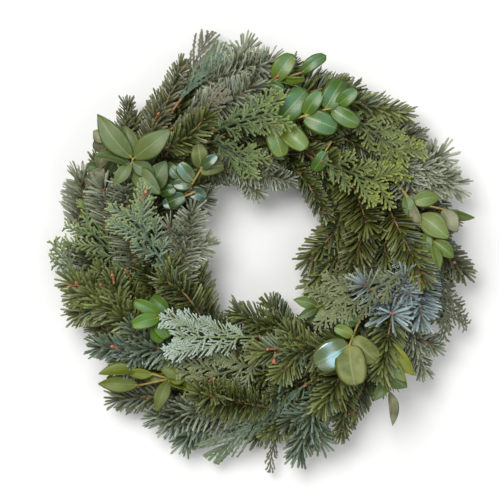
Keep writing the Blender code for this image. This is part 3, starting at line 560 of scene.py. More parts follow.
def unit(vectors):
    return vectors / np.maximum(np.linalg.norm(vectors, axis=-1, keepdims=True), 1e-12)


class Shape:
    """The triangles of one piece."""

    def __init__(self):
        self.points, self.faces, self.slots, self.shades, self.size = [], [], [], [], 0

    def add(self, points, faces, slots, shades):
        points = np.asarray(points, float).reshape(-1, 3)
        faces = np.asarray(faces, int).reshape(-1, 3)
        self.points.append(points)
        self.faces.append(faces + self.size)
        self.slots.append(np.broadcast_to(np.asarray(slots, int), (len(faces),)))
        self.shades.append(np.broadcast_to(np.asarray(shades, float), (len(points), 3)))
        self.size += len(points)

    def take(self, other):
        """Adds another shape's triangles, to look for hits in."""
        self.add(np.concatenate(other.points), np.concatenate(other.faces), 0, (0, 0, 0))

    def tree(self):
        points = np.concatenate(self.points)
        faces = np.concatenate(self.faces)
        return BVHTree.FromPolygons(points.tolist(), faces.tolist())

    def build(self, name, materials, slot, nodes=(), smooth=True):
        """Makes the object, at its place in the frame, and hides the solids that it replaces."""
        points = np.concatenate(self.points) + ring_middle()
        faces = np.concatenate(self.faces)
        mesh = bpy.data.meshes.new(name)
        mesh.vertices.add(len(points))
        mesh.vertices.foreach_set("co", points.ravel())
        mesh.loops.add(faces.size)
        mesh.loops.foreach_set("vertex_index", faces.ravel())
        mesh.polygons.add(len(faces))
        mesh.polygons.foreach_set("loop_start", np.arange(len(faces)) * 3)
        mesh.polygons.foreach_set("material_index", np.concatenate(self.slots))
        mesh.polygons.foreach_set("use_smooth", np.full(len(faces), smooth))
        shade = mesh.color_attributes.new("shade", "FLOAT_COLOR", "POINT")
        colours = np.concatenate([np.concatenate(self.shades), np.ones((len(points), 1))], axis=1)
        shade.data.foreach_set("color", colours.ravel())
        for look in materials:
            mesh.materials.append(look)
        mesh.update(calc_edges=True)
        mesh.validate()
        made = bpy.data.objects.new(name, mesh)
        bpy.context.scene.collection.objects.link(made)
        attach(made, "root")
        if nodes:
            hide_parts(*nodes)


def array(vectors):
    return np.array([tuple(vector) for vector in vectors], float)


def triples(*corners):
    return np.stack(corners, -1).reshape(-1, 3)


def spots(line, distances):
    """Points of a line at these distances along it, with their directions ahead, to the side and up."""
    length = line_length(line)
    rows = []
    for distance in distances:
        point, ahead = spot_on(line, min(1.0, max(0.0, distance / length)))
        up = foliage_up(point)
        side = ahead.cross(up).normalized()
        rows.append((point, ahead, side, side.cross(ahead)))
    return [array([row[k] for row in rows]) for k in range(4)]


def add_tube(shape, points, radii, sides, slot, shades):
    """A round tube with closed ends. The shades are one for each point along it, or one for all."""
    points = np.asarray(points, float)
    count = len(points)
    ways = unit(np.gradient(points, axis=0))
    ups = array([foliage_up(Vector(point)) for point in points])
    across = unit(np.cross(ways, ups))
    ups = np.cross(across, ways)
    turns = np.arange(sides) / sides * math.tau
    rings = across[:, None] * np.cos(turns)[None, :, None] + ups[:, None] * np.sin(turns)[None, :, None]
    rings = points[:, None] + rings * np.broadcast_to(radii, (count,))[:, None, None]
    k, j = np.meshgrid(np.arange(count - 1), np.arange(sides), indexing="ij")
    a, b = k * sides + j, k * sides + (j + 1) % sides
    c, d = b + sides, a + sides
    walls = np.concatenate([triples(a, c, b), triples(a, d, c)])
    fan = np.array([(0, j, j + 1) for j in range(1, sides - 1)])
    caps = np.concatenate([fan, fan[:, ::-1] + (count - 1) * sides])
    shades = np.broadcast_to(np.asarray(shades, float), (count, 3))
    shape.add(rings, np.concatenate([walls, caps]), slot, np.repeat(shades, sides, axis=0))


def add_stem(shape, line, end, slot, shades=PLAIN_SHADE):
    """A spray's own stem, which gets as thin as end, in millimetres."""
    stem = array(line)
    add_tube(shape, stem, np.linspace(1.3, end, len(stem)) * MM, 7, slot, shades)


def add_bud(shape, root, way, length, slot, tint):
    """A pointed oval bud."""
    stations = np.array((0.0, 0.18, 0.45, 0.75, 1.0))
    wide = np.array((0.2, 0.31, 0.32, 0.2, 0.03)) * length
    points = np.asarray(root) + np.asarray(way) * (stations * length)[:, None]
    add_tube(shape, points, wide, 6, slot, [(tint, t, 0.5) for t in stations])


# Fir


NEEDLE_STATIONS = ((0.0, 0.55), (0.3, 1.0), (0.93, 0.9))
NEEDLE_FACES = np.array([  # of the two ridged upper sides and the root, then of the lower side
    (0, 2, 5), (0, 5, 3), (1, 4, 5), (1, 5, 2), (3, 5, 8), (3, 8, 6), (4, 7, 8), (4, 8, 5),
    (6, 8, 9), (7, 9, 8), (0, 1, 2), (0, 3, 4), (0, 4, 1), (3, 6, 7), (3, 7, 4), (6, 9, 7),
])
NEEDLE_TOP_FACES = 11


def add_needles(shape, roots, ways, ups, curls, lengths, widths, tints, slots):
    """Flat needles with a ridge on top. The slots are those of the upper and the paler lower side."""
    count = len(roots)
    if not count:
        return
    sides = unit(np.cross(ways, ups))
    ups = np.cross(sides, ways)
    rows = []
    for t, wide in NEEDLE_STATIONS:
        middle = roots + ways * (lengths * t)[:, None] + curls * (lengths * t * t)[:, None]
        half = (widths * wide / 2)[:, None]
        rows += [middle - sides * half, middle + sides * half, middle + ups * half * 0.45]
    rows.append(roots + ways * lengths[:, None] + curls * lengths[:, None])
    points = np.stack(rows, axis=1)
    along = np.array([t for t, _ in NEEDLE_STATIONS for _ in range(3)] + [1.0])
    across = np.array([0, 1, 0.5] * 3 + [0.5])
    shades = np.stack(np.broadcast_arrays(tints[:, None], along[None], across[None]), axis=-1)
    faces = NEEDLE_FACES[None] + np.arange(count)[:, None, None] * 10
    kinds = np.where(np.arange(len(NEEDLE_FACES)) < NEEDLE_TOP_FACES, slots[0], slots[1])
    shape.add(points, faces, np.tile(kinds, count), shades.reshape(-1, 3))


FIR_FORMS = {  # needle length and width, needles for each millimetre, bend upwards, how much they lie to the
    # sides, degrees that they stand off the shoot, share of the top ones left out, degrees less at the end
    "green": (19.0, 2.25, 2.5, 0.06, 0.36, 68, 0.38, 20),
    "dark": (17.0, 2.1, 2.5, 0.06, 0.32, 70, 0.35, 18),
    "noble": (20.5, 2.1, 3.2, 0.12, 0.3, 85, 0.15, 8),
}
SHORT_NEEDLES = {  # length of the needles of some shoots, as a share of their kind's
    "noble_fir_31": 0.65, "noble_fir_06": 0.85, "fir_02": 0.74, "fir_03": 0.7, "fir_32": 0.82, "fir_17": 0.76,
    "fir_22": 0.82, "fir_27": 0.75, "fir_30": 0.85,
}
BUSHY = ("fir_12",)  # a shoot with needles over its twig too
OWN_LOOKS = {  # shoots with another colour than the rest of their kind
    "fir_08": "green", "fir_09": "deep", "fir_10": "sea", "fir_13": "sea", "fir_16": "sea",
    "fir_17": "deep", "fir_22": "noble", "noble_fir_21": "blue", "fir_24": "deep", "fir_25": "deep",
    "fir_26": "deep", "fir_27": "green", "noble_fir_28": "deep",
}


def fir_shoot(shape, line, kind, chance, tree, tint, reach=1.0, density=1.0, bud=1.0):
    """One shoot: its twig, the needles round it and its buds."""
    length, width, often, bend, flat, stand, bare, rake = FIR_FORMS[kind]
    loose = 0.5 if kind == "noble" else 1.0
    length *= MM * reach
    whole = line_length(line)
    count = max(6, round(whole / MM * often * density))
    distances = whole * (np.arange(count) + 0.5) / count
    points, ahead, side, up = spots(line, distances)
    rng = np.random.default_rng(chance.randrange(1 << 30))
    along = distances / whole
    turn = rng.uniform(0, math.tau) + np.arange(count) * GOLDEN_TURN
    turn = turn - flat * np.sin(2 * turn)
    high = np.maximum(0.0, np.sin(turn))
    lean = np.radians(stand - rake * along**2 - 14 * high + rng.normal(0, 4.5 * loose, count))
    lengths = length * (0.9 + rng.normal(0, 0.06, count)) * (1 - 0.22 * high) * (1 - 0.3 * along**6)
    lengths *= 1 - 0.35 * np.exp(-distances / (6 * MM))
    lengths[(high > 0.8) & (rng.random(count) < bare)] = 0
    points, ahead, side, up = (
        np.concatenate([part, np.repeat(part[-1:], TIP_NEEDLES, 0)]) for part in (points, ahead, side, up)
    )
    turn = np.concatenate([turn, np.arange(TIP_NEEDLES) * GOLDEN_TURN])
    lean = np.concatenate([lean, np.radians(rng.uniform(20, 52, TIP_NEEDLES))])
    lengths = np.concatenate([lengths, length * rng.uniform(0.62, 0.86, TIP_NEEDLES)])
    out = side * np.cos(turn)[:, None] + up * np.sin(turn)[:, None]
    ways = ahead * np.cos(lean)[:, None] + out * np.sin(lean)[:, None]
    faced = out * np.cos(lean)[:, None] - ahead * np.sin(lean)[:, None]
    ups = unit(up * 0.75 + faced * 0.45 + rng.normal(0, 0.22 * loose, ways.shape))
    curls = up * bend + ahead * 0.14 + rng.normal(0, 0.04 * loose, ways.shape)
    roots = points + out * 0.5 * MM
    keep = free_lengths(roots, ways, curls, lengths, tree)
    lengths = lengths * keep
    good = (keep > LEAST_KEPT) & (lengths > 1 * MM)
    tints = np.clip(tint + rng.normal(0, 0.25, len(turn)), 0, 1)
    widths = width * MM * (0.9 + rng.normal(0, 0.05, len(turn))) * (0.6 + 0.4 * reach)
    kept = (part[good] for part in (roots, ways, ups, curls, lengths, widths, tints))
    add_needles(shape, *kept, (UPPER, LOWER))
    steps = np.linspace(0, whole, 9)
    twig, way, across, above = spots(line, steps)
    thick = np.interp(steps / whole, (0, 1), (0.95, 0.6)) * MM
    add_tube(shape, twig, thick, 6, WOOD, [(tint, t, 0.5) for t in steps / whole])
    add_bud(shape, twig[-1], way[-1], 4.2 * MM * bud, BUD, chance.random())
    for turned in (-1, 1):
        aside = unit(way[-1] * 0.8 + across[-1] * turned * 0.6 + above[-1] * 0.15)
        add_bud(shape, twig[-1] - way[-1] * 0.8 * MM, aside, 3.2 * MM * bud, BUD, chance.random())


def free_lengths(roots, ways, curls, lengths, tree):
    """How much of each needle is clear of the leaves and fronds and of the surface, as a share."""
    kept = np.ones(len(roots))
    for k, (root, way, curl, length) in enumerate(zip(roots, ways, curls, lengths)):
        chord = Vector(way + curl)
        share = chord.length
        hit = tree.ray_cast(Vector(root), chord.normalized(), length * share)
        if hit[0] is not None:
            kept[k] = max(0.0, hit[3] / (length * share) - 0.04)
        low = root[2] + (way[2] + curl[2]) * length
        if low < LEAST_HEIGHT:
            kept[k] = min(kept[k], max(0.0, (root[2] - LEAST_HEIGHT) / max(root[2] - low, 1e-9)))
    return kept


def curved(root, tip, bow, chance):
    """A side shoot's line, a little bowed."""
    along = tip - root
    off = along.cross(UP).normalized() * along.length * bow
    off += UP * along.length * chance.uniform(-0.03, 0.06)
    return [root + along * t + off * (4 * t * (1 - t)) for t in (0.0, 0.25, 0.5, 0.75, 1.0)]


def fir_piece(name, kind, line, first, tree, looks):
    chance = random.Random(name)
    shape = Shape()
    shown = line[first:]
    tint = chance.uniform(0.3, 0.7) + (0.12 if kind == "noble" else 0.0)
    reach = SHORT_NEEDLES.get(name, 1.0)
    slot = f"{kind}_fir"
    kind = "noble" if name in BUSHY else kind
    fir_shoot(shape, line[first - 3 :], kind, chance, tree, tint, reach)
    length = line_length(shown)
    for number, (root, tip) in enumerate(side_twigs(shown, length)):
        bow = 0.07 * (1 if number % 2 else -1)
        fir_shoot(shape, curved(root, tip, bow, chance), kind, chance, tree, tint + 0.05, 0.92 * reach)
    if length > LONG_SHOOT:
        for along, side, share in ((0.62, 1, 0.2), (0.74, -1, 0.16)):
            root, ahead = spot_on(shown, along)
            across = ahead.cross(foliage_up(root)).normalized()
            way = (ahead * 0.75 + across * side * 0.66).normalized()
            tip = root + way * length * share
            fir_shoot(shape, curved(root, tip, 0.05 * side, chance), kind, chance, tree, tint + 0.08, 0.85)
    add_stem(shape, line[: first - 2], 1.0, WOOD, (tint, 0.1, 0.5))
    shape.build(name, looks, slot, [name], smooth=False)
    return shape


# Flat fronds of scale leaves


FROND_WIDTHS = (2.5, 2.5, 2.25, 2.0)  # millimetres, of the rib and of each order of branchlets
SCALE = 2.5 * MM
SCALE_FACES = np.array([(0, 1, 4), (0, 4, 3), (1, 2, 5), (1, 5, 4), (2, 0, 3), (2, 3, 5)])
RIPPLE = 0.5 * MM  # how far the end of a branchlet lies off the sheet
# millimetres between branches, their lean, their bow, longest branchlet, its lean, share of doubled ones, and
# how wide the branchlets and the whole frond are
FROND_HABITS = {
    "fan": (11.0, (33, 48), (-0.6, -0.15), 9.0, (30, 42), 0.15, 0.85, 1.0),
    "comb": (12.5, (24, 38), (-0.9, -0.4), 12.0, (24, 36), 0.3, 0.68, 1.0),
    "prong": (8.0, (12, 25), (-0.3, 0.1), 3.4, (16, 27), -0.2, 0.8, 1.4),
}
FROND_LOOKS = {"cypress_06": "shaded", "cypress_08": "yellow", "cypress_09": "yellow"}


class Sheet:
    """A frond's curved sheet: places on it by distance along its rib and across it."""

    def __init__(self, shown):
        self.length = line_length(shown)
        self.stations = np.linspace(0, self.length, 40)
        self.frames = spots(shown, self.stations)

    def place(self, flat):
        flat = np.asarray(flat, float)
        x, y = flat[:, 0], flat[:, 1]
        spot, ahead, side, up = (
            np.stack([np.interp(x, self.stations, part[:, k]) for k in range(3)], -1) for part in self.frames
        )
        past = np.where(x < 0, x, np.where(x > self.length, x - self.length, 0.0))
        points = spot + ahead * past[:, None] + side * y[:, None] - up * (y * y * FROND_SAG)[:, None]
        return points, unit(up + side * (2 * FROND_SAG * y)[:, None])


def flat_line(root, turn, reach, bow):
    """A branchlet on the flat sheet, as points a scale apart. It bends by bow, in radians, on the way."""
    count = max(2, round(reach / SCALE))
    points = [np.asarray(root, float)]
    for k in range(count):
        angle = turn + bow * (k / count - 0.3)
        points.append(points[-1] + np.array((math.cos(angle), math.sin(angle))) * reach / count)
    return points


def frond_plan(length, width, chance, habit):
    """Each branchlet of a flat frond, as (points on the sheet, order, nearness to the frond's edge, tilt)."""
    apart, leans, bows, longest, turns, doubled, *_ = FROND_HABITS[habit]
    rib = flat_line((-1.5 * MM, 0), 0.0, length * 1.03 + 1.5 * MM, chance.uniform(-0.12, 0.12))
    plan = [(rib, 0, 0.35, 0)]
    count = max(4, round(length / (apart * MM)))
    for k in range(count):
        for side in (-1, 1):
            along = (k + 0.3 + 0.25 * side + chance.uniform(-0.14, 0.14)) / count * 0.98
            swell = math.sin(math.pi * (0.22 + 0.78 * (1 - max(0.0, along))) ** 1.15)
            reach = max(6 * MM, width / 2 * (0.42 + 1.12 * swell)) * chance.uniform(0.76, 1.12)
            if habit == "prong":
                reach = min(2.1 * reach, (1.03 - along) * length)
            tilt = chance.uniform(-0.14, 0.2)
            lean = math.radians(chance.uniform(*leans)) * side
            branch = flat_line((along * length, 0.0), lean, reach, chance.uniform(*bows) * side)
            plan.append((branch, 1, 0.65, tilt))
            plan += feather(branch, side, chance, tilt, longest * MM, turns, doubled)
    return plan + feather(rib[len(rib) * 2 // 3 :], 1, chance, 0.0, longest * 0.7 * MM, turns, doubled)


def feather(branch, side, chance, tilt, longest, turns, doubled):
    """The branchlets on both sides of one branch, the longest ones a third of the way along it."""
    plan = []
    for number, spot in enumerate(branch[1:-1]):
        ahead = branch[number + 2] - spot
        turn = math.atan2(ahead[1], ahead[0])
        done = number / max(1, len(branch) - 2)
        twig = longest * (0.5 + 0.5 * math.sin(math.pi * min(1.0, 0.22 + done * 0.85)))
        twig = min(twig, (len(branch) - 1 - number) * SCALE * 0.8 + 1.4 * MM) * chance.uniform(0.75, 1.15)
        for aside in (1, -1):
            near = aside == (1 if (number + (side > 0)) % 2 else -1)
            if chance.random() < (1 + min(0.0, doubled) if near else doubled):
                way = turn + aside * math.radians(chance.uniform(*turns))
                line = flat_line(spot, way, twig, -0.35 * aside)
                plan.append((line, 2, 0.95, tilt))
                if twig > 6.5 * MM and chance.random() < 0.75:
                    fork = line[len(line) // 2]
                    plan.append((flat_line(fork, way + aside * 0.55, 4.2 * MM, -0.2 * aside), 3, 1.0, tilt))
    return plan


def add_scales(shape, sheet, plan, chance, tint, slot, thin):
    """Chains of scale leaves along every branchlet: each scale widens towards its end and is ridged."""
    for flat, order, edge, tilt in plan:
        points, ups = sheet.place(flat)
        points = points + ups * (tilt * np.abs(np.asarray(flat)[:, 1]))[:, None]
        ways = unit(np.gradient(points, axis=0))
        across = unit(np.cross(ways, ups))
        ups = np.cross(across, ways)
        count = len(points)
        sway = RIPPLE * math.sin(chance.uniform(0, 6.28)) * np.linspace(0, 1, count) ** 2
        points = points + ups * (sway + (order - 1) * 0.12 * MM)[:, None]
        wide = FROND_WIDTHS[order] * MM * thin * np.linspace(1.0, 0.82, count)
        rows, shades = [], []
        own = min(1.0, max(0.0, tint + chance.gauss(0, 0.17)))
        for k in range(count - 1):
            share = (k + 0.6) / max(1, count - 1)
            young = min(1.0, edge * (0.35 + 0.65 * share) * (0.6 + 0.5 * max(0.0, flat[k][0]) / sheet.length))
            for t, swell, phase in ((0.0, 0.84, 0.0), (0.6, 1.0, 1.0)):
                middle = points[k] * (1 - t) + points[k + 1] * t
                half = wide[k] * swell / 2
                rows += [middle - across[k] * half, middle + ups[k] * half * 0.75, middle + across[k] * half]
                shades += [(own, young, phase)] * 3
        rows.append(points[-1])
        shades.append((own, min(1.0, edge * 1.1), 1.0))
        rings = (len(rows) - 1) // 3
        r = np.arange(rings - 1)[:, None] * 3
        faces = (SCALE_FACES[None] + r[:, :, None]).reshape(-1, 3)
        last, tip = (rings - 1) * 3, rings * 3
        ends = [(last, last + 1, tip), (last + 1, last + 2, tip), (last + 2, last, tip), (0, 2, 1)]
        shape.add(rows, np.concatenate([faces, np.array(ends)]), slot, shades)


def frond_shape(name, kind, line, first, width, colour):
    chance = random.Random(name)
    shape = Shape()
    sheet = Sheet(line[first:])
    habit = "prong" if kind == "juniper" else "comb" if colour == "silver" else "fan"
    *_, thin, wider = FROND_HABITS[habit]
    plan = frond_plan(sheet.length, width * MM * wider, chance, habit)
    add_scales(shape, sheet, plan, chance, 0.5, 0, thin)
    add_stem(shape, line[: first + 1], 0.95, 1)
    return shape


# Leafy sprigs


LEAF_ROWS, LEAF_COLUMNS = 14, 8
SPRIG_TINTS = {  # how light each sprig's leaves are, which of them show their underside, and their material
    "box_sprig_01": (0.5, (), "box"),
    "box_sprig_02": (0.45, (), "box"),
    "privet_sprig_03": (0.5, (), "grey_privet"),
    "privet_sprig_04": (0.2, (0, 2), "grey_privet"),
    "box_sprig_05": (0.3, (0, 2, 5), "dark_box"),
    "privet_sprig_06": (0.5, (1, 8), "privet"),
    "box_sprig_07": (0.6, (1, 2), "box"),
    "privet_sprig_08": (0.5, (4,), "privet"),
    "privet_sprig_09": (0.4, (), "privet"),
    "box_sprig_10": (0.5, (), "bright_box"),
    "privet_sprig_11": (0.5, (), "yellow_privet"),
}
SHINY_LEAVES = {"box_sprig_07": (0,)}  # so glossy that they mirror the light from above
STALK_RADII = (0.75 * MM, 0.62 * MM, 0.4 * MM)
STALK_SHADE = (0.5, 0.6, 0.5)

# base and tip (to the right, behind, height) and width in millimetres, tint, and 1 where the underside shows
ADDED_LEAVES = {
    "yellow_privet": (
        ((-64, -103, 53), (-86, -89, 51), 13, 0.5, 0), ((-63, -111, 51), (-59, -96, 54), 10, 0.3, 0),
        ((-79, -104, 46), (-101, -103, 43), 9, 0.4, 0), ((99, -73, 60), (119, -101, 55), 12, 0.9, 0),
    ),
    "grey_privet": (
        ((-126, 86, 44), (-138, 95, 42), 12, 0.4, 1), ((-128, 80, 44), (-134, 64, 42), 12, 0.3, 1),
        ((-129, 65, 42), (-139, 51, 40), 13, 0.5, 1), ((-92, 45, 61), (-78, 70, 66), 18, 0.4, 0),
        ((-118, 72, 56), (-126, 60, 50), 10, 0.1, 0),
    ),
    "bright_box": (
        ((-84, -55, 69), (-76, -70, 70), 15, 0.4, 0), ((-77, -49, 60), (-91, -38, 56), 12, 0.1, 0),
    ),
    "box": (
        ((-68, 56, 62), (-79, 68, 60), 11, 0.1, 0), ((-63, 42, 60), (-80, 35, 57), 13, 0.05, 0),
        ((-70, 48, 62), (-84, 44, 59), 11, 0.1, 0), ((48, 78, 56), (38, 62, 52), 12, 0.3, 0),
    ),
}


def leaf_kind(material):
    return "box" if material.endswith("box") else "privet"


def added_leaves(material):
    """More leaves of a kind, which look out between the sprays."""
    chance = random.Random(material)
    shape = Shape()
    for base, tip, width, tint, side_shown in ADDED_LEAVES[material]:
        root, end = (Vector(point) * MM for point in (base, tip))
        along = (end - root).normalized()
        side = UP.cross(along).normalized()
        up = along.cross(side).normalized()
        frame = (along, side, up, width * MM)
        slots = (LOWER, UPPER) if side_shown else (UPPER, LOWER)
        add_leaf(shape, leaf_kind(material), root, frame, (end - root).length, chance, slots, tint)
        stalk = array([root + along * t * MM - up * 0.3 * MM for t in (-9, -4, 0, 2)])
        add_tube(shape, stalk, (0.9 * MM, 0.8 * MM, 0.65 * MM, 0.4 * MM), 5, WOOD, STALK_SHADE)
    return shape


def add_leaf(shape, kind, root, frame, length, chance, slots, tint):
    """A leaf as a thin closed lens, with its midrib sunk on top and its edges a little curled and waved."""
    along, side, up, real = (np.array(tuple(v)) if k < 3 else v for k, v in enumerate(frame))
    root = np.array(tuple(root))
    ts = np.linspace(0, 1, LEAF_ROWS + 1)[1:-1]
    shares = np.linspace(-1, 1, LEAF_COLUMNS + 1)
    t, share = np.meshgrid(ts, shares, indexing="ij")
    half = real * np.array([leaf_half_width(kind, value) for value in ts])[:, None] * np.ones(t.shape)
    curl = chance.uniform(-0.22, 0.02) if kind == "box" else chance.uniform(-0.12, 0.14)
    wave = chance.uniform(0.0, 0.018) * length
    phase = chance.uniform(0, 6.28)
    lift = 0.09 * length * np.sin(np.pi * t) - 0.05 * length * t * t
    lift = lift + 0.2 * half * share**2 + curl * half * share**4
    lift = lift + wave * np.sin(2.4 * np.pi * t + phase + share) * share**2
    sunk = (0.34 * MM) * np.exp(-((share * half / (0.75 * MM)) ** 2)) * (1 - 0.7 * t)
    skew = chance.uniform(-0.05, 0.05) * length * np.sin(np.pi * t)
    middle = root + along * (length * t)[..., None] + side * (half * share + skew)[..., None]
    top = middle + up * (lift - sunk)[..., None]
    thick = 0.38 * MM * np.sqrt(np.maximum(0.0, 1 - share**2)) + 0.35 * sunk
    low = middle + up * (lift - sunk - thick)[..., None]
    rows, columns = t.shape
    inner = columns - 2
    points = [top.reshape(-1, 3), low[:, 1:-1].reshape(-1, 3), root[None]]
    tip = root + along * length + up * (-0.05 * length)
    points = np.concatenate([*points, tip[None]])
    shades = np.stack([np.full(t.shape, tint), t, (share + 1) / 2], -1)
    shades = np.concatenate(
        [shades.reshape(-1, 3), shades[:, 1:-1].reshape(-1, 3), [(tint, 0, 0.5), (tint, 1, 0.5)]]
    )
    base, point = len(points) - 2, len(points) - 1

    def upper(r, c):
        return r * columns + c

    def lower(r, c):
        if c in (0, columns - 1):
            return upper(r, c)
        return rows * columns + r * inner + c - 1

    faces = []
    for c in range(columns - 1):
        for r in range(rows - 1):
            a, b, d, e = upper(r, c), upper(r + 1, c), upper(r + 1, c + 1), upper(r, c + 1)
            faces += [(a, b, d), (a, d, e)]
            a, b, d, e = lower(r, c), lower(r + 1, c), lower(r + 1, c + 1), lower(r, c + 1)
            faces += [(a, d, b), (a, e, d)]
        faces += [(base, upper(0, c), upper(0, c + 1)), (upper(rows - 1, c), point, upper(rows - 1, c + 1))]
        faces += [(base, lower(0, c + 1), lower(0, c)), (lower(rows - 1, c + 1), point, lower(rows - 1, c))]
    kinds = [slots[0], slots[0], slots[1], slots[1]] * (len(faces) // 4)
    shape.add(points, faces, kinds, shades)


def sprig_shape(name, kind, line, first, twigs, leaves):
    chance = random.Random(name)
    shape = Shape()
    lines = sprig_twigs(line[first:], twigs)
    for number, (twig, along, angle, length, width) in enumerate(leaves):
        root, _ = leaf_root(lines[twig], along)
        frame = leaf_frame(angle, length * MM, width * MM, number)
        light, turned, _ = SPRIG_TINTS[name]
        tint = min(1.0, max(0.0, light + chance.uniform(-0.32, 0.32)))
        slots = (UPPER, LOWER)
        if number in turned:
            slots = (LOWER, UPPER)
        elif number in SHINY_LEAVES.get(name, ()):
            slots = (GLOSSY, LOWER)
        add_leaf(shape, kind, root, frame, length * MM, chance, slots, tint)
        stalk = array([leaf_point(kind, root, frame, length * MM, t, 0) for t in (0, 0.05, 0.1)])
        add_tube(shape, stalk - array([UP] * 3) * 0.35 * MM, STALK_RADII, 5, WOOD, STALK_SHADE)
    add_stem(shape, line, 0.75, WOOD, [(0.5, t, 0.5) for t in np.linspace(0, 1, len(line))])
    for twig in lines[1:]:
        steps = array([twig[0].lerp(twig[1], t) for t in (0, 0.33, 0.66, 1)])
        add_tube(shape, steps, np.linspace(0.95, 0.65, 4) * MM, 6, WOOD, (0.5, 0.7, 0.5))
    return shape


# The straw roll and its wire


ROLL_STEPS, ROLL_SIDES = 360, 72
LOOSE_STALKS = 150  # that lie on the roll
WIRE_STEPS = 40  # for each turn
WIRE_TIGHT = 21.0 * MM  # the fine wire's reach from the roll's middle


def straw_shape():
    """The roll as bundled straw: many stalks side by side, slightly wound, pressed in under the wire."""
    chance = random.Random("straw")
    shape = Shape()
    k, j = np.meshgrid(np.arange(ROLL_STEPS), np.arange(ROLL_SIDES), indexing="ij")
    ring, tube_turn = k / ROLL_STEPS * 360, j / ROLL_SIDES * 360
    wave = np.sin(np.radians(ring * 5 + 40)) * 3 + np.sin(np.radians(ring * 11)) * 1.5
    stalk = np.abs(np.sin(np.radians((tube_turn + wave) * 18)))
    under = np.zeros(k.shape)
    for turn in range(WIRE_TURNS):
        away = (ring - bottom_angle(turn) - WIRE_PITCH * (tube_turn - 270) / 360 + 180) % 360 - 180
        under = np.maximum(under, np.exp(-((away / 0.9) ** 2)))
    reach = (17.15 + 0.62 * stalk + 0.18 * np.sin(np.radians(ring * 23 + tube_turn * 3))) * MM
    reach = reach - 0.35 * MM * under
    tilt, round_ring = np.radians(tube_turn), np.radians(ring)
    out = RING_RADIUS + reach * np.cos(tilt)
    height = np.maximum(0.05 * MM + 0.12 * MM * (1 - stalk), STRAW_HEIGHT + reach * np.sin(tilt))
    points = np.stack([out * np.cos(round_ring), out * np.sin(round_ring), height], -1)
    a = k * ROLL_SIDES + j
    b = ((k + 1) % ROLL_STEPS) * ROLL_SIDES + j
    c = ((k + 1) % ROLL_STEPS) * ROLL_SIDES + (j + 1) % ROLL_SIDES
    d = k * ROLL_SIDES + (j + 1) % ROLL_SIDES
    faces = np.concatenate([triples(a, c, d), triples(a, b, c)])
    tints = 0.5 + 0.3 * np.sin(np.round((tube_turn + wave) / 10) * 12.9898)
    shape.add(points, faces, 0, np.stack([tints, ring / 360, stalk], -1).reshape(-1, 3))
    for _ in range(LOOSE_STALKS):
        start = chance.uniform(0, 360)
        tilt = chance.uniform(-20, 200)
        span, drift = chance.uniform(8, 26), chance.uniform(-14, 14)
        line = []
        for t in np.linspace(0, 1, 7):
            rise = 17.6 + 1.5 * max(0.0, abs(2 * t - 1) - 0.7) * chance.uniform(0.2, 2.0)
            line.append(on_roll(start + span * t, tilt + drift * t, rise * MM))
        add_tube(shape, array(line), 0.45 * MM, 5, 0, (chance.random(), chance.random(), 0.8))
    return shape


def under_roll(angle, tube_angle, share):
    """The point of the wire at this share of its straight way from under the roll's middle to one side."""
    side = on_roll(angle, tube_angle, (STRAW_HEIGHT - WIRE_FLOOR) / -math.sin(math.radians(tube_angle)))
    return place(angle, RING_RADIUS, WIRE_FLOOR).lerp(side, share)


def wire_shape():
    """The wire, wound tight over the cut ends and straight across underneath."""
    shape = Shape()
    points = []
    for turn in range(WIRE_TURNS):
        for step in range(WIRE_STEPS):
            tube_angle = 270 - 360 * (1 - step / WIRE_STEPS)
            if tube_angle < WIRE_LOW:
                points.append(under_roll(bottom_angle(turn), WIRE_LOW, (tube_angle + 90) / (WIRE_LOW + 90)))
            elif tube_angle > 180 - WIRE_LOW:
                share = (270 - tube_angle) / (90 + WIRE_LOW)
                points.append(under_roll(bottom_angle(turn) + WIRE_PITCH, 180 - WIRE_LOW, share))
            else:
                points.append(wire_point(turn, tube_angle, WIRE_TIGHT))
    points.append(points[0])
    add_tube(shape, array(points), WIRE_RADIUS, 8, 0, MIDDLE_SHADE)
    return shape
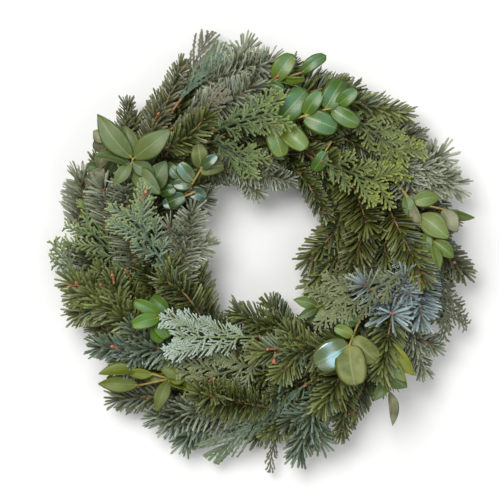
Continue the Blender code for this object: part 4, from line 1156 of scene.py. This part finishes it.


# Materials. Colours are linear red, green and blue.

# dark, middle and light needles and their tips, on the upper side and on the paler lower one, then the upper
# side's roughness, the gloss of both sides and how much painted shade darkens the upper side near the twig
NEEDLE_LOOKS = {
    "green": (
        ((0.01, 0.017, 0.002), (0.076, 0.1, 0.016), (0.235, 0.265, 0.08), (0.24, 0.26, 0.085)),
        ((0.11, 0.14, 0.07), (0.2, 0.235, 0.14), (0.3, 0.34, 0.23), (0.27, 0.31, 0.18)),
        0.34, 0.4, 0.8,
    ),
    "deep": (
        ((0.007, 0.011, 0.001), (0.052, 0.064, 0.006), (0.18, 0.195, 0.04), (0.22, 0.225, 0.07)),
        ((0.05, 0.06, 0.02), (0.12, 0.135, 0.06), (0.22, 0.235, 0.13), (0.2, 0.22, 0.11)),
        0.36, 0.3, 0.8,
    ),
    "dark": (
        ((0.012, 0.015, 0.004), (0.078, 0.085, 0.034), (0.23, 0.235, 0.12), (0.24, 0.235, 0.12)),
        ((0.1, 0.12, 0.08), (0.2, 0.23, 0.18), (0.31, 0.34, 0.29), (0.27, 0.29, 0.23)),
        0.36, 0.4, 0.8,
    ),
    "sea": (
        ((0.008, 0.015, 0.005), (0.06, 0.087, 0.045), (0.19, 0.26, 0.2), (0.22, 0.27, 0.15)),
        ((0.1, 0.13, 0.11), (0.2, 0.25, 0.23), (0.3, 0.37, 0.36), (0.26, 0.31, 0.28)),
        0.34, 0.4, 0.8,
    ),
    "blue": (
        ((0.07, 0.09, 0.085), (0.23, 0.3, 0.31), (0.41, 0.52, 0.55), (0.4, 0.48, 0.49)),
        ((0.13, 0.165, 0.17), (0.25, 0.31, 0.33), (0.38, 0.47, 0.51), (0.34, 0.4, 0.42)),
        0.42, 0.4, 0.45,
    ),
    "noble": (
        ((0.03, 0.036, 0.014), (0.175, 0.197, 0.12), (0.42, 0.46, 0.34), (0.38, 0.4, 0.27)),
        ((0.17, 0.21, 0.18), (0.3, 0.355, 0.32), (0.42, 0.48, 0.45), (0.36, 0.4, 0.35)),
        0.42, 0.4, 0.5,
    ),
}
# deep, middle and light scales, the young tips and, for one kind, the rib
FROND_COLOURS = {
    "green": ((0.012, 0.022, 0.006), (0.075, 0.112, 0.044), (0.155, 0.21, 0.09), (0.28, 0.35, 0.1)),
    "yellow": ((0.014, 0.024, 0.005), (0.075, 0.105, 0.032), (0.165, 0.205, 0.07), (0.35, 0.4, 0.08)),
    "olive": ((0.028, 0.034, 0.012), (0.125, 0.148, 0.064), (0.22, 0.25, 0.135), (0.3, 0.33, 0.16)),
    "shaded": ((0.014, 0.018, 0.006), (0.07, 0.078, 0.038), (0.135, 0.145, 0.08), (0.19, 0.2, 0.1)),
    "blue": ((0.022, 0.038, 0.022), (0.1, 0.16, 0.105), (0.2, 0.28, 0.2), (0.3, 0.37, 0.14)),
    "silver": (
        (0.09, 0.12, 0.06), (0.24, 0.31, 0.21), (0.43, 0.52, 0.43), (0.47, 0.57, 0.5), (0.2, 0.25, 0.06),
    ),
    "brown": ((0.035, 0.035, 0.02), (0.14, 0.14, 0.09), (0.25, 0.25, 0.17), (0.3, 0.28, 0.19)),
}
# three greens and the middle one's place, the midrib's colour, how many side veins, roughness and coat
LEAF_LOOKS = {
    "box": (
        (0.013, 0.042, 0.002), (0.046, 0.112, 0.004), (0.175, 0.225, 0.018), 0.4,
        (0.27, 0.34, 0.07), 11, 0.36, 0.2,
    ),
    "dark_box": (
        (0.009, 0.028, 0.005), (0.03, 0.068, 0.01), (0.11, 0.15, 0.035), 0.4,
        (0.15, 0.2, 0.05), 11, 0.3, 0.7,
    ),
    "bright_box": (
        (0.03, 0.08, 0.003), (0.07, 0.155, 0.004), (0.13, 0.22, 0.02), 0.45,
        (0.2, 0.28, 0.03), 11, 0.42, 0.0,
    ),
    "grey_privet": (
        (0.02, 0.04, 0.004), (0.062, 0.098, 0.015), (0.15, 0.185, 0.05), 0.45,
        (0.22, 0.25, 0.1), 6, 0.45, 0.0,
    ),
    "privet": (
        (0.03, 0.06, 0.003), (0.08, 0.125, 0.013), (0.165, 0.21, 0.04), 0.45,
        (0.3, 0.34, 0.12), 6, 0.42, 0.0,
    ),
    "yellow_privet": (
        (0.035, 0.052, 0.001), (0.1, 0.125, 0.002), (0.22, 0.245, 0.016), 0.45,
        (0.2, 0.22, 0.03), 6, 0.5, 0.0,
    ),
    "shiny_box": (
        (0.018, 0.05, 0.004), (0.06, 0.1, 0.008), (0.14, 0.17, 0.02), 0.4,
        (0.27, 0.34, 0.07), 11, 0.3, 1.0,
    ),
}
# three greens and the midrib's colour
LEAF_UNDER_LOOKS = {
    "box": ((0.062, 0.075, 0.012), (0.115, 0.142, 0.03), (0.2, 0.215, 0.065), (0.28, 0.3, 0.12)),
    "privet": ((0.1, 0.1, 0.05), (0.18, 0.185, 0.1), (0.27, 0.275, 0.17), (0.34, 0.34, 0.2)),
}


def looks_of(name, roughness, metallic=0.0, coat=0.0, coat_roughness=0.15, specular=0.5):
    made = bpy.data.materials.new(name)
    made.use_nodes = True
    shader = made.node_tree.nodes["Principled BSDF"]
    shader.inputs["Roughness"].default_value = roughness
    shader.inputs["Metallic"].default_value = metallic
    shader.inputs["Coat Weight"].default_value = coat
    shader.inputs["Coat Roughness"].default_value = coat_roughness
    shader.inputs["Specular IOR Level"].default_value = specular
    return made, made.node_tree, shader


def add_node(tree, kind, **settings):
    node = tree.nodes.new(kind)
    for key, value in settings.items():
        setattr(node, key, value)
    return node


def shade_parts(tree):
    """The shade attribute's three numbers."""
    shade = add_node(tree, "ShaderNodeAttribute", attribute_name="shade")
    parts = add_node(tree, "ShaderNodeSeparateColor")
    tree.links.new(shade.outputs["Color"], parts.inputs["Color"])
    return parts.outputs["Red"], parts.outputs["Green"], parts.outputs["Blue"]


def colour_ramp(tree, value, stops):
    node = add_node(tree, "ShaderNodeValToRGB")
    ramp = node.color_ramp
    while len(ramp.elements) < len(stops):
        ramp.elements.new(0.5)
    for element, (position, colour) in zip(ramp.elements, stops):
        element.position = position
        element.color = (*colour, 1)
    tree.links.new(value, node.inputs["Fac"])
    return node.outputs["Color"]


def mixed(tree, share, one, two, blend="MIX"):
    node = add_node(tree, "ShaderNodeMix", data_type="RGBA", blend_type=blend)
    sockets = [s for s in node.inputs if s.type == "RGBA"]
    for value, socket in ((share, node.inputs["Factor"]), (one, sockets[0]), (two, sockets[1])):
        if isinstance(value, bpy.types.NodeSocket):
            tree.links.new(value, socket)
        elif isinstance(value, tuple):
            socket.default_value = (*value, 1)
        else:
            socket.default_value = value
    return next(s for s in node.outputs if s.type == "RGBA")


def number(tree, operation, one, two=None, three=None, clamp=False):
    node = add_node(tree, "ShaderNodeMath", operation=operation, use_clamp=clamp)
    for value, socket in zip((one, two, three), node.inputs):
        if isinstance(value, bpy.types.NodeSocket):
            tree.links.new(value, socket)
        elif value is not None:
            socket.default_value = value
    return node.outputs[0]


def times(tree, one, two):
    return number(tree, "MULTIPLY", one, two)


def power(tree, value, exponent):
    return number(tree, "POWER", value, exponent)


def rest(tree, share):
    """What this share leaves of the whole."""
    return number(tree, "SUBTRACT", 1.0, share, clamp=True)


def weighed(tree, one, weight, two, other):
    return number(tree, "ADD", times(tree, one, weight), times(tree, two, other))


def noise(tree, scale, detail=2.0, roughness=0.5):
    place_at = add_node(tree, "ShaderNodeTexCoord")
    node = add_node(tree, "ShaderNodeTexNoise")
    node.inputs["Scale"].default_value = scale
    node.inputs["Detail"].default_value = detail
    node.inputs["Roughness"].default_value = roughness
    tree.links.new(place_at.outputs["Object"], node.inputs["Vector"])
    return node.outputs["Fac"]


def bumped(tree, shader, height, strength, distance):
    node = add_node(tree, "ShaderNodeBump")
    node.inputs["Strength"].default_value = strength
    node.inputs["Distance"].default_value = distance
    tree.links.new(height, node.inputs["Height"])
    tree.links.new(node.outputs["Normal"], shader.inputs["Normal"])


def spread(tree, value, low, high):
    node = add_node(tree, "ShaderNodeMapRange")
    node.inputs["From Min"].default_value = low
    node.inputs["From Max"].default_value = high
    tree.links.new(value, node.inputs["Value"])
    return node.outputs["Result"]


def needle_look(name, dark, middle, light, tip, roughness, specular=0.4, inner=0.8):
    """Needles: lighter and darker ones, paler towards the tip, in patches over the shoot, with painted shade
    and glints.
    """
    made, tree, shader = looks_of(name, roughness, specular=specular)
    own, along, _ = shade_parts(tree)
    patch = spread(tree, noise(tree, 45), 0.3, 0.7)
    value = weighed(tree, own, 0.72, patch, 0.28)
    colour = colour_ramp(tree, value, ((0.2, dark), (0.53, middle), (0.88, light)))
    young = times(tree, power(tree, along, 2.5), 0.5)
    colour = mixed(tree, young, colour, tip)
    # painted shade: the upper side darkens towards the twig, where the needles shade each other
    base = times(tree, power(tree, rest(tree, along), 1.6), inner)
    colour = mixed(tree, base, colour, (0.03, 0.038, 0.006))
    # painted reflection: noise patches of needles turn pale blue-green, as if they mirrored the sky
    painted_glint = times(tree, spread(tree, noise(tree, 28), 0.58, 0.72), times(tree, own, 0.6))
    colour = mixed(tree, painted_glint, colour, (0.14, 0.21, 0.22))
    tree.links.new(colour, shader.inputs["Base Color"])
    streak = noise(tree, 900, 3)
    rough = spread(tree, streak, 0.2, 0.8)
    tree.links.new(number(tree, "MULTIPLY_ADD", rough, 0.16, roughness - 0.08), shader.inputs["Roughness"])
    bumped(tree, shader, streak, 0.25, 0.0002)
    return made


def bark_look(name, dark, light):
    made, tree, shader = looks_of(name, 0.7)
    grain = noise(tree, 420, 4)
    colour = colour_ramp(tree, spread(tree, grain, 0.25, 0.75), ((0.1, dark), (0.9, light)))
    tree.links.new(colour, shader.inputs["Base Color"])
    bumped(tree, shader, grain, 0.5, 0.0004)
    return made


def bud_look(name, dark, light):
    made, tree, shader = looks_of(name, 0.45)
    _, along, _ = shade_parts(tree)
    colour = colour_ramp(tree, along, ((0.1, dark), (0.75, light)))
    grain = noise(tree, 700, 2)
    colour = mixed(tree, times(tree, grain, 0.35), colour, dark)
    tree.links.new(colour, shader.inputs["Base Color"])
    bumped(tree, shader, grain, 0.3, 0.0003)
    return made


def frond_look(name, deep, middle, light, tip, rib=None):
    """Scale leaves: dark joints, lighter scale ends, and fresh colour towards the frond's edge."""
    made, tree, shader = looks_of(name, 0.55)
    own, along, phase = shade_parts(tree)
    patch = spread(tree, noise(tree, 60), 0.3, 0.7)
    value = weighed(tree, own, 0.6, patch, 0.4)
    colour = colour_ramp(tree, value, ((0.15, deep), (0.5, middle), (0.85, light)))
    fresh = times(tree, power(tree, along, 2.2), 0.9)
    colour = mixed(tree, fresh, colour, tip)
    if rib:
        inner = power(tree, rest(tree, along), 2.6)
        colour = mixed(tree, inner, colour, rib)
    joint = times(tree, rest(tree, phase), 0.25)
    colour = mixed(tree, joint, colour, deep)
    tree.links.new(colour, shader.inputs["Base Color"])
    fine = noise(tree, 1100, 2)
    bumped(tree, shader, fine, 0.3, 0.0002)
    return made


def leaf_lines(tree, along, across, rib_width, veins, sharpness):
    """How far from a leaf's middle a point is, and how much of it lies on the midrib and on a side vein."""
    off = number(tree, "ABSOLUTE", number(tree, "MULTIPLY_ADD", across, 2.0, -1.0))
    on_rib = rest(tree, number(tree, "DIVIDE", off, rib_width))
    phase = times(tree, number(tree, "MULTIPLY_ADD", off, -0.2, along), veins)
    wave = number(tree, "SINE", times(tree, phase, math.tau))
    return off, on_rib, power(tree, number(tree, "MULTIPLY_ADD", wave, 0.5, 0.5), sharpness)


def leaf_look(name, deep, middle, light, centre, rib, veins, roughness, coat):
    """A smooth leaf: its own green, a pale midrib and edge, and faint side veins."""
    made, tree, shader = looks_of(name, roughness, specular=0.4, coat=coat, coat_roughness=0.2)
    own, along, across = shade_parts(tree)
    patch = spread(tree, noise(tree, 70, 3), 0.3, 0.7)
    value = weighed(tree, own, 0.75, patch, 0.25)
    colour = colour_ramp(tree, value, ((0.05, deep), (centre, middle), (0.95, light)))
    width = number(tree, "MULTIPLY_ADD", along, -0.04, 0.085)
    off, on_rib, vein = leaf_lines(tree, along, across, width, veins, 9.0)
    vein = times(tree, vein, rest(tree, off))
    line = number(tree, "MAXIMUM", times(tree, on_rib, 0.75), times(tree, vein, 0.13))
    colour = mixed(tree, line, colour, rib)
    rim = times(tree, power(tree, off, 9.0), 0.4)
    colour = mixed(tree, rim, colour, rib)
    tree.links.new(colour, shader.inputs["Base Color"])
    fine = noise(tree, 350, 3)
    height = weighed(tree, fine, 0.5, vein, -0.5)
    bumped(tree, shader, height, 0.22, 0.0004)
    return made


def leaf_under_look(name, deep, middle, light, rib):
    """The duller underside of a leaf, with its raised midrib and a net of fine veins."""
    made, tree, shader = looks_of(name, 0.52, specular=0.25)
    own, along, across = shade_parts(tree)
    grain = noise(tree, 120, 3)
    patch = spread(tree, noise(tree, 85, 4), 0.36, 0.64)
    value = weighed(tree, own, 0.5, patch, 0.5)
    colour = colour_ramp(tree, value, ((0.2, deep), (0.5, middle), (0.8, light)))
    _, on_rib, vein = leaf_lines(tree, along, across, 0.1, 8.0, 7.0)
    line = number(tree, "MAXIMUM", times(tree, on_rib, 0.6), times(tree, vein, 0.08))
    colour = mixed(tree, line, colour, rib)
    tree.links.new(colour, shader.inputs["Base Color"])
    height = weighed(tree, grain, 0.5, line, 0.8)
    bumped(tree, shader, height, 0.35, 0.0005)
    return made


def straw_look():
    made, tree, shader = looks_of("straw", 0.6)
    own, _, stalk = shade_parts(tree)
    grain = noise(tree, 260, 4, 0.6)
    value = weighed(tree, own, 0.6, grain, 0.4)
    stops = ((0.15, (0.3, 0.2, 0.08)), (0.5, (0.5, 0.37, 0.16)), (0.85, (0.68, 0.55, 0.3)))
    colour = colour_ramp(tree, value, stops)
    # painted shade: the grooves between the stalks are darkened
    gap = times(tree, rest(tree, stalk), 0.55)
    colour = mixed(tree, gap, colour, (0.12, 0.075, 0.03))
    tree.links.new(colour, shader.inputs["Base Color"])
    bumped(tree, shader, grain, 0.4, 0.0005)
    return made


def wire_look():
    made, tree, shader = looks_of("wire", 0.4, metallic=0.15)
    grain = noise(tree, 500, 2)
    colour = colour_ramp(tree, grain, ((0.3, (0.018, 0.05, 0.024)), (0.7, (0.035, 0.085, 0.04))))
    tree.links.new(colour, shader.inputs["Base Color"])
    bumped(tree, shader, grain, 0.15, 0.0002)
    return made


def floor_look():
    made, tree, shader = looks_of("floor", 0.6, specular=0.2)
    fine = noise(tree, 35, 3)
    colour = colour_ramp(tree, fine, ((0.3, (0.87, 0.87, 0.87)), (0.7, (0.89, 0.89, 0.89))))
    tree.links.new(colour, shader.inputs["Base Color"])
    return made


# The shoots that fill the wreath under the sprays, in five rows, so that no straw shows between them

# how many, distance of start and tip, degrees on the way, rise of start and tip. Lengths are in millimetres
UNDER_ROWS = (
    ("inner", 16, 86, 71, 26, 20, 26),
    ("middle", 17, 95, 100, 24, 26, 34),
    ("over", 17, 109, 118, 24, 28, 36),
    ("outer", 27, 122, 143, 20, 20, 26),
    ("skirt", 25, 134, 150, 21, 4, 3),
)
EXTRA_SHOOTS = (  # kind, start (angle, distance), tip, rise of start and tip, length of the needles
    ("green", (135, 113), (115, 114), 40, 50, 0.9),
    ("green", (225, 74), (198, 82), 44, 54, 0.9),
    ("green", (206, 90), (190, 76), 46, 50, 0.9),
    ("green", (70, 88), (52, 88), 34, 44, 0.9),
    ("dark", (148, 140), (136, 147), 28, 32, 0.85),
    ("dark", (143, 126), (129, 140), 32, 38, 0.85),
    ("noble", (173, 153), (160, 158), 40, 46, 1.0),
    ("noble", (172, 128), (160, 137), 46, 54, 1.0),
    ("noble", (153, 67), (137, 64), 26, 28, 0.7),
    ("noble", (260, 133), (241, 157), 34, 34, 1.0),
    ("green", (344, 64), (322, 47), 26, 26, 0.8),
    ("green", (290, 136), (272, 149), 26, 26, 0.85),
    ("noble", (118, 126), (95, 129), 42, 48, 0.95),
    ("dark", (54, 128), (37, 151), 28, 34, 0.85),
    ("green", (4, 82), (338, 50), 28, 26, 0.95),
    ("green", (352, 92), (334, 66), 36, 36, 0.9),
)
# millimetres to the right of the ring's middle and behind it, how many buds, their heading in degrees
BUD_SPOTS = (
    (-86, 107, 1, 60), (105, 106, 2, 350), (118, -19, 1, 240), (121, -23, 2, 280), (128, -18, 2, 330),
    (151, -11, 2, 10), (3, -79, 1, 180), (7, -87, 2, 260), (-42, -103, 1, 30), (-120, -78, 2, 150),
    (-130, -29, 2, 140), (-150, -28, 1, 120), (-156, -30, 1, 190), (-121, -22, 1, 100), (67, -133, 2, 200),
    (-94, 43, 2, 60), (-60, 47, 1, 40), (9, 137, 1, 30),
)


def buds_piece(foliage, looks):
    """Resinous buds on short twig ends, standing just clear of the foliage."""
    shape = Shape()
    chance = random.Random("buds")
    for x, y, count, heading_angle in BUD_SPOTS:
        hit = foliage.ray_cast(Vector((x * MM, y * MM, 0.2)), -UP)
        top = hit[0] if hit[0] is not None else Vector((x * MM, y * MM, 40 * MM))
        ahead = (heading(heading_angle) + UP * 0.35).normalized()
        end = np.array(tuple(top + UP * 0.6 * MM))
        way = np.array(tuple(ahead))
        add_tube(shape, end - way * np.array([(6,), (3,), (0,)]) * MM, 0.85 * MM, 6, 1, MIDDLE_SHADE)
        for k in range(count):
            turned = np.array(tuple(heading(heading_angle + (50 * (k - (count - 1) / 2))))) + way
            turned = turned / np.linalg.norm(turned)
            add_bud(shape, end - turned * 0.5 * MM, turned, chance.uniform(3.4, 4.3) * MM, 0, chance.random())
    shape.build("buds", looks, "green_fir", smooth=False)


UPRIGHT = "noble_fir_20"  # the shoot that the blue upright tips stand for
# angle, distance and height in millimetres, needles and their length, of the upright tips seen from above
STARS = {
    "blue": ((333.0, 111, 65, 54, 26), (343.5, 118, 60, 40, 22)),
    "green": ((249.8, 121.8, 64, 72, 18.5),),
}


def add_star(shape, angle, distance, height, count, longest, rng):
    """A short upright fir tip, its needles standing out all round it."""
    middle = array([place(angle, distance * MM, height * MM)])
    axis = unit(array([place(angle, 0.2, 1.0)]))
    heights = np.sort(rng.uniform(-12, 5, count)) * MM
    turn = np.arange(count) * GOLDEN_TURN + rng.normal(0, 0.35, count)
    one = unit(np.cross(axis, [(1.0, 0, 0)]))
    two = np.cross(axis, one)
    out = one * np.cos(turn)[:, None] + two * np.sin(turn)[:, None]
    lean = np.radians(np.interp(heights, (-12 * MM, 5 * MM), (95, 50)) + rng.normal(0, 11, count))
    ways = axis * np.cos(lean)[:, None] + out * np.sin(lean)[:, None]
    lengths = longest * rng.uniform(0.6, 1.0, count) * MM * np.interp(heights, (-12 * MM, 5 * MM), (1.0, 0.7))
    ups = unit(axis * 0.8 + rng.normal(0, 0.2, ways.shape))
    curls = axis * 0.08 + rng.normal(0, 0.12, ways.shape)
    widths = rng.uniform(1.6, 1.95, count) * MM
    tints = rng.uniform(0.15, 0.95, count)
    roots = middle + axis * heights[:, None]
    add_needles(shape, roots, ways, ups, curls, lengths, widths, tints, (UPPER, LOWER))
    add_tube(shape, middle + axis * np.linspace(-24, 4, 5)[:, None] * MM, 1.0 * MM, 6, WOOD, MIDDLE_SHADE)
    add_bud(shape, (middle + axis * 3.5 * MM)[0], axis[0], 4 * MM, BUD, 0.5)


def thin_tip(looks):
    """The thin scaly twig end that hangs out beyond the needles at the near side."""
    chance = random.Random("tip")
    shape = Shape()
    line = curved(place(274.5, 150 * MM, 22 * MM), place(271.4, 183 * MM, 12 * MM), 0.06, chance)
    sheet = Sheet(line)
    add_scales(shape, sheet, frond_plan(sheet.length, 7 * MM, chance, "prong"), chance, 0.3, 0, 0.55)
    shape.build("twig_tip", looks, "brown_juniper", smooth=False)


def crowned(angle, distance, rise):
    """The point at this angle and distance, this far over the foliage's base, in degrees and millimetres."""
    return place(angle, distance * MM, crown(distance * MM, rise * MM))


def upright_tips(stem, tree, firs):
    """The upright fir tips and their side shoots. The blue ones replace the last noble shoot."""
    rng = np.random.default_rng(20)
    blue = Shape()
    for star in STARS["blue"]:
        add_star(blue, *star, rng)
    line, first = stem
    add_tube(blue, array(line[: first + 2]), 1.2 * MM, 7, WOOD, PLAIN_SHADE)
    chance = random.Random("blue")
    for end, reach in ((place(340, 83 * MM, 72 * MM), 1.0), (place(349, 112 * MM, 67 * MM), 0.9)):
        aside = curved(place(333.6, 112 * MM, 60 * MM), end, 0.06, chance)
        fir_shoot(blue, aside, "noble", chance, tree, 0.45, reach, 0.55)
    blue.build(UPRIGHT, firs["blue"], "noble_fir", [UPRIGHT], smooth=False)
    green = Shape()
    for star in STARS["green"]:
        add_star(green, *star, rng)
    start, end = place(272, 127 * MM, 50 * MM), place(255, 127 * MM, 54 * MM)
    beside = curved(start, end, 0.05, random.Random("beside"))
    fir_shoot(green, beside, "noble", random.Random("beside"), tree, 0.5, 0.8)
    green.build("fir_rosette", firs["green"], "green_fir", smooth=False)


def added_shoots(kind, tree):
    chance = random.Random(kind)
    shape = Shape()
    for _, start, tip, low, high, reach in (row for row in EXTRA_SHOOTS if row[0] == kind):
        line = curved(crowned(*start, low), crowned(*tip, high), 0.08, chance)
        fir_shoot(shape, line, kind, chance, tree, 0.5, reach)
    return shape


def under_shoots(row, tree):
    name, count, near, far, sweep, low, high = row
    chance = random.Random(name)
    shape = Shape()
    for k in range(count):
        start = 360 * (k + chance.uniform(-0.15, 0.15)) / count
        begin, end = near + chance.uniform(-3, 3), far + chance.uniform(-4, 4)
        root, tip = crowned(start, begin, low), crowned(start - sweep, end, high)
        ahead = (tip - root).normalized()
        around = place(start - 90, 1.0)
        line = bezier(root, tip, (around + ahead * 0.6).normalized(), (ahead - 0.1 * UP).normalized(), 8)
        # their tints, darker than the sprays' 0.3 to 0.7, are painted shade for shoots that lie under the
        # sprays
        fir_shoot(shape, line, "green", chance, tree, chance.uniform(0.05, 0.35), 0.85, 0.9, 0.6)
    return shape


CAMERA_LENS, CAMERA_SENSOR = 121.5, 36  # millimetres
CAMERA_HEIGHT = 1.395
CAMERA_SHIFT = (-12 * MM, -0.8 * MM)  # from the ring's middle, as the photo is framed


def light(name, where, target, size, power, colour, lights_floor=True):
    data = bpy.data.lights.new(name, "AREA")
    data.shape = "DISK"
    data.size = size
    data.energy = power
    data.color = colour
    made = bpy.data.objects.new(name, data)
    made.location = where
    made.visible_diffuse = lights_floor
    made.rotation_euler = (Vector(target) - Vector(where)).to_track_quat("-Z", "Y").to_euler()
    bpy.context.scene.collection.objects.link(made)


def stage_and_camera():
    mesh = bpy.data.meshes.new("floor")
    shape = bmesh.new()
    bmesh.ops.create_grid(shape, x_segments=2, y_segments=2, size=2.5)
    shape.to_mesh(mesh)
    shape.free()
    floor = bpy.data.objects.new("floor", mesh)
    bpy.context.scene.collection.objects.link(floor)
    mesh.materials.append(floor_look())
    middle = ring_middle()
    world = bpy.data.worlds.new("world")
    world.use_nodes = True
    world.node_tree.nodes["Background"].inputs["Color"].default_value = (1.0, 1.0, 1.0, 1)
    world.node_tree.nodes["Background"].inputs["Strength"].default_value = 0.35
    bpy.context.scene.world = world
    bpy.context.scene.view_settings.view_transform = "Standard"
    light("key", (-0.55, 0.68, 1.75), middle, 1.2, 34, (1.0, 0.99, 0.965))
    light("sky", (0.3, 0.22, 1.8), middle, 1.3, 16, (0.36, 0.72, 1.0), False)
    light("fill", (0.9, -0.9, 1.3), middle, 1.4, 10, (1.0, 0.99, 0.97))
    data = bpy.data.cameras.new("camera")
    data.lens = CAMERA_LENS
    data.sensor_width = CAMERA_SENSOR
    camera = bpy.data.objects.new("camera", data)
    camera.location = (middle[0] + CAMERA_SHIFT[0], middle[1] + CAMERA_SHIFT[1], CAMERA_HEIGHT)
    bpy.context.scene.collection.objects.link(camera)
    bpy.context.scene.camera = camera


def plant_looks():
    """The materials of each kind of shoot, frond and leaf, in the order of their slots, and of the buds."""
    bark = bark_look("bark", (0.13, 0.06, 0.02), (0.4, 0.2, 0.075))
    bud = bud_look("bud", (0.22, 0.065, 0.025), (0.56, 0.19, 0.08))
    firs = {}
    for kind, (upper, lower, roughness, specular, inner) in NEEDLE_LOOKS.items():
        top = needle_look(f"{kind}_fir", *upper, roughness, specular, inner)
        firs[kind] = [top, needle_look(f"{kind}_fir_under", *lower, 0.5, specular), bark, bud]
    fronds = {kind: [frond_look(f"{kind}_frond", *colours), bark] for kind, colours in FROND_COLOURS.items()}
    stem = bark_look("box_stem", (0.2, 0.17, 0.03), (0.42, 0.3, 0.08))
    tops = {material: leaf_look(f"{material}_leaf", *values) for material, values in LEAF_LOOKS.items()}
    tops["shiny_box"].node_tree.nodes["Principled BSDF"].inputs["Coat IOR"].default_value = 2.2
    under = LEAF_UNDER_LOOKS.items()
    unders = {kind: leaf_under_look(f"{kind}_leaf_under", *values) for kind, values in under}
    leaves = {material: [top, unders[leaf_kind(material)], stem] for material, top in tops.items()}
    return firs, fronds, leaves, [bud, bark]


def leaves_and_fronds(lines, fronds, leaves):
    """Builds the sprigs, the added leaves and the fronds. Returns all of their triangles as one shape."""
    foliage = Shape()
    for name, kind, _, _, _, twigs, rows in SPRIGS:
        shape = sprig_shape(name, kind, *lines[name], twigs, rows)
        looks = leaves[SPRIG_TINTS[name][2]] + (leaves["shiny_box"][:1] if name in SHINY_LEAVES else [])
        shape.build(name, looks, kind + "_leaf", [name])
        foliage.take(shape)
    for material in ADDED_LEAVES:
        shape = added_leaves(material)
        shape.build(f"added_{material}_leaves", leaves[material], leaf_kind(material) + "_leaf")
        foliage.take(shape)
    for name, kind, _, _, _, width, _, colour in FRONDS:
        shape = frond_shape(name, kind, *lines[name], width, colour)
        slot = colour + ("_cypress" if kind == "cypress" else "_juniper")
        shape.build(name, fronds[FROND_LOOKS.get(name, colour)], slot, [name], smooth=False)
        foliage.take(shape)
    return foliage


def main():
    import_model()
    lines = lay_all()
    firs, fronds, leaves, bud_looks = plant_looks()
    foliage = leaves_and_fronds(lines, fronds, leaves)
    tree = foliage.tree()
    for name, kind, *_ in FIR_SPRAYS:
        if name != UPRIGHT:
            foliage.take(fir_piece(name, kind, *lines[name], tree, firs[OWN_LOOKS.get(name, kind)]))
    for row in UNDER_ROWS:
        under_shoots(row, tree).build(f"under_shoots_{row[0]}", firs["green"], "green_fir", smooth=False)
    for kind in ("green", "dark", "noble"):
        added_shoots(kind, tree).build(f"added_{kind}_shoots", firs[kind], f"{kind}_fir", smooth=False)
    buds_piece(foliage.tree(), bud_looks)
    upright_tips(lines[UPRIGHT], tree, firs)
    thin_tip(fronds["brown"])
    straw_shape().build("straw", [straw_look()], "straw", ["straw_ring"])
    wire_shape().build("wire", [wire_look()], "wire", ["binding_wire"])
    stage_and_camera()


main()
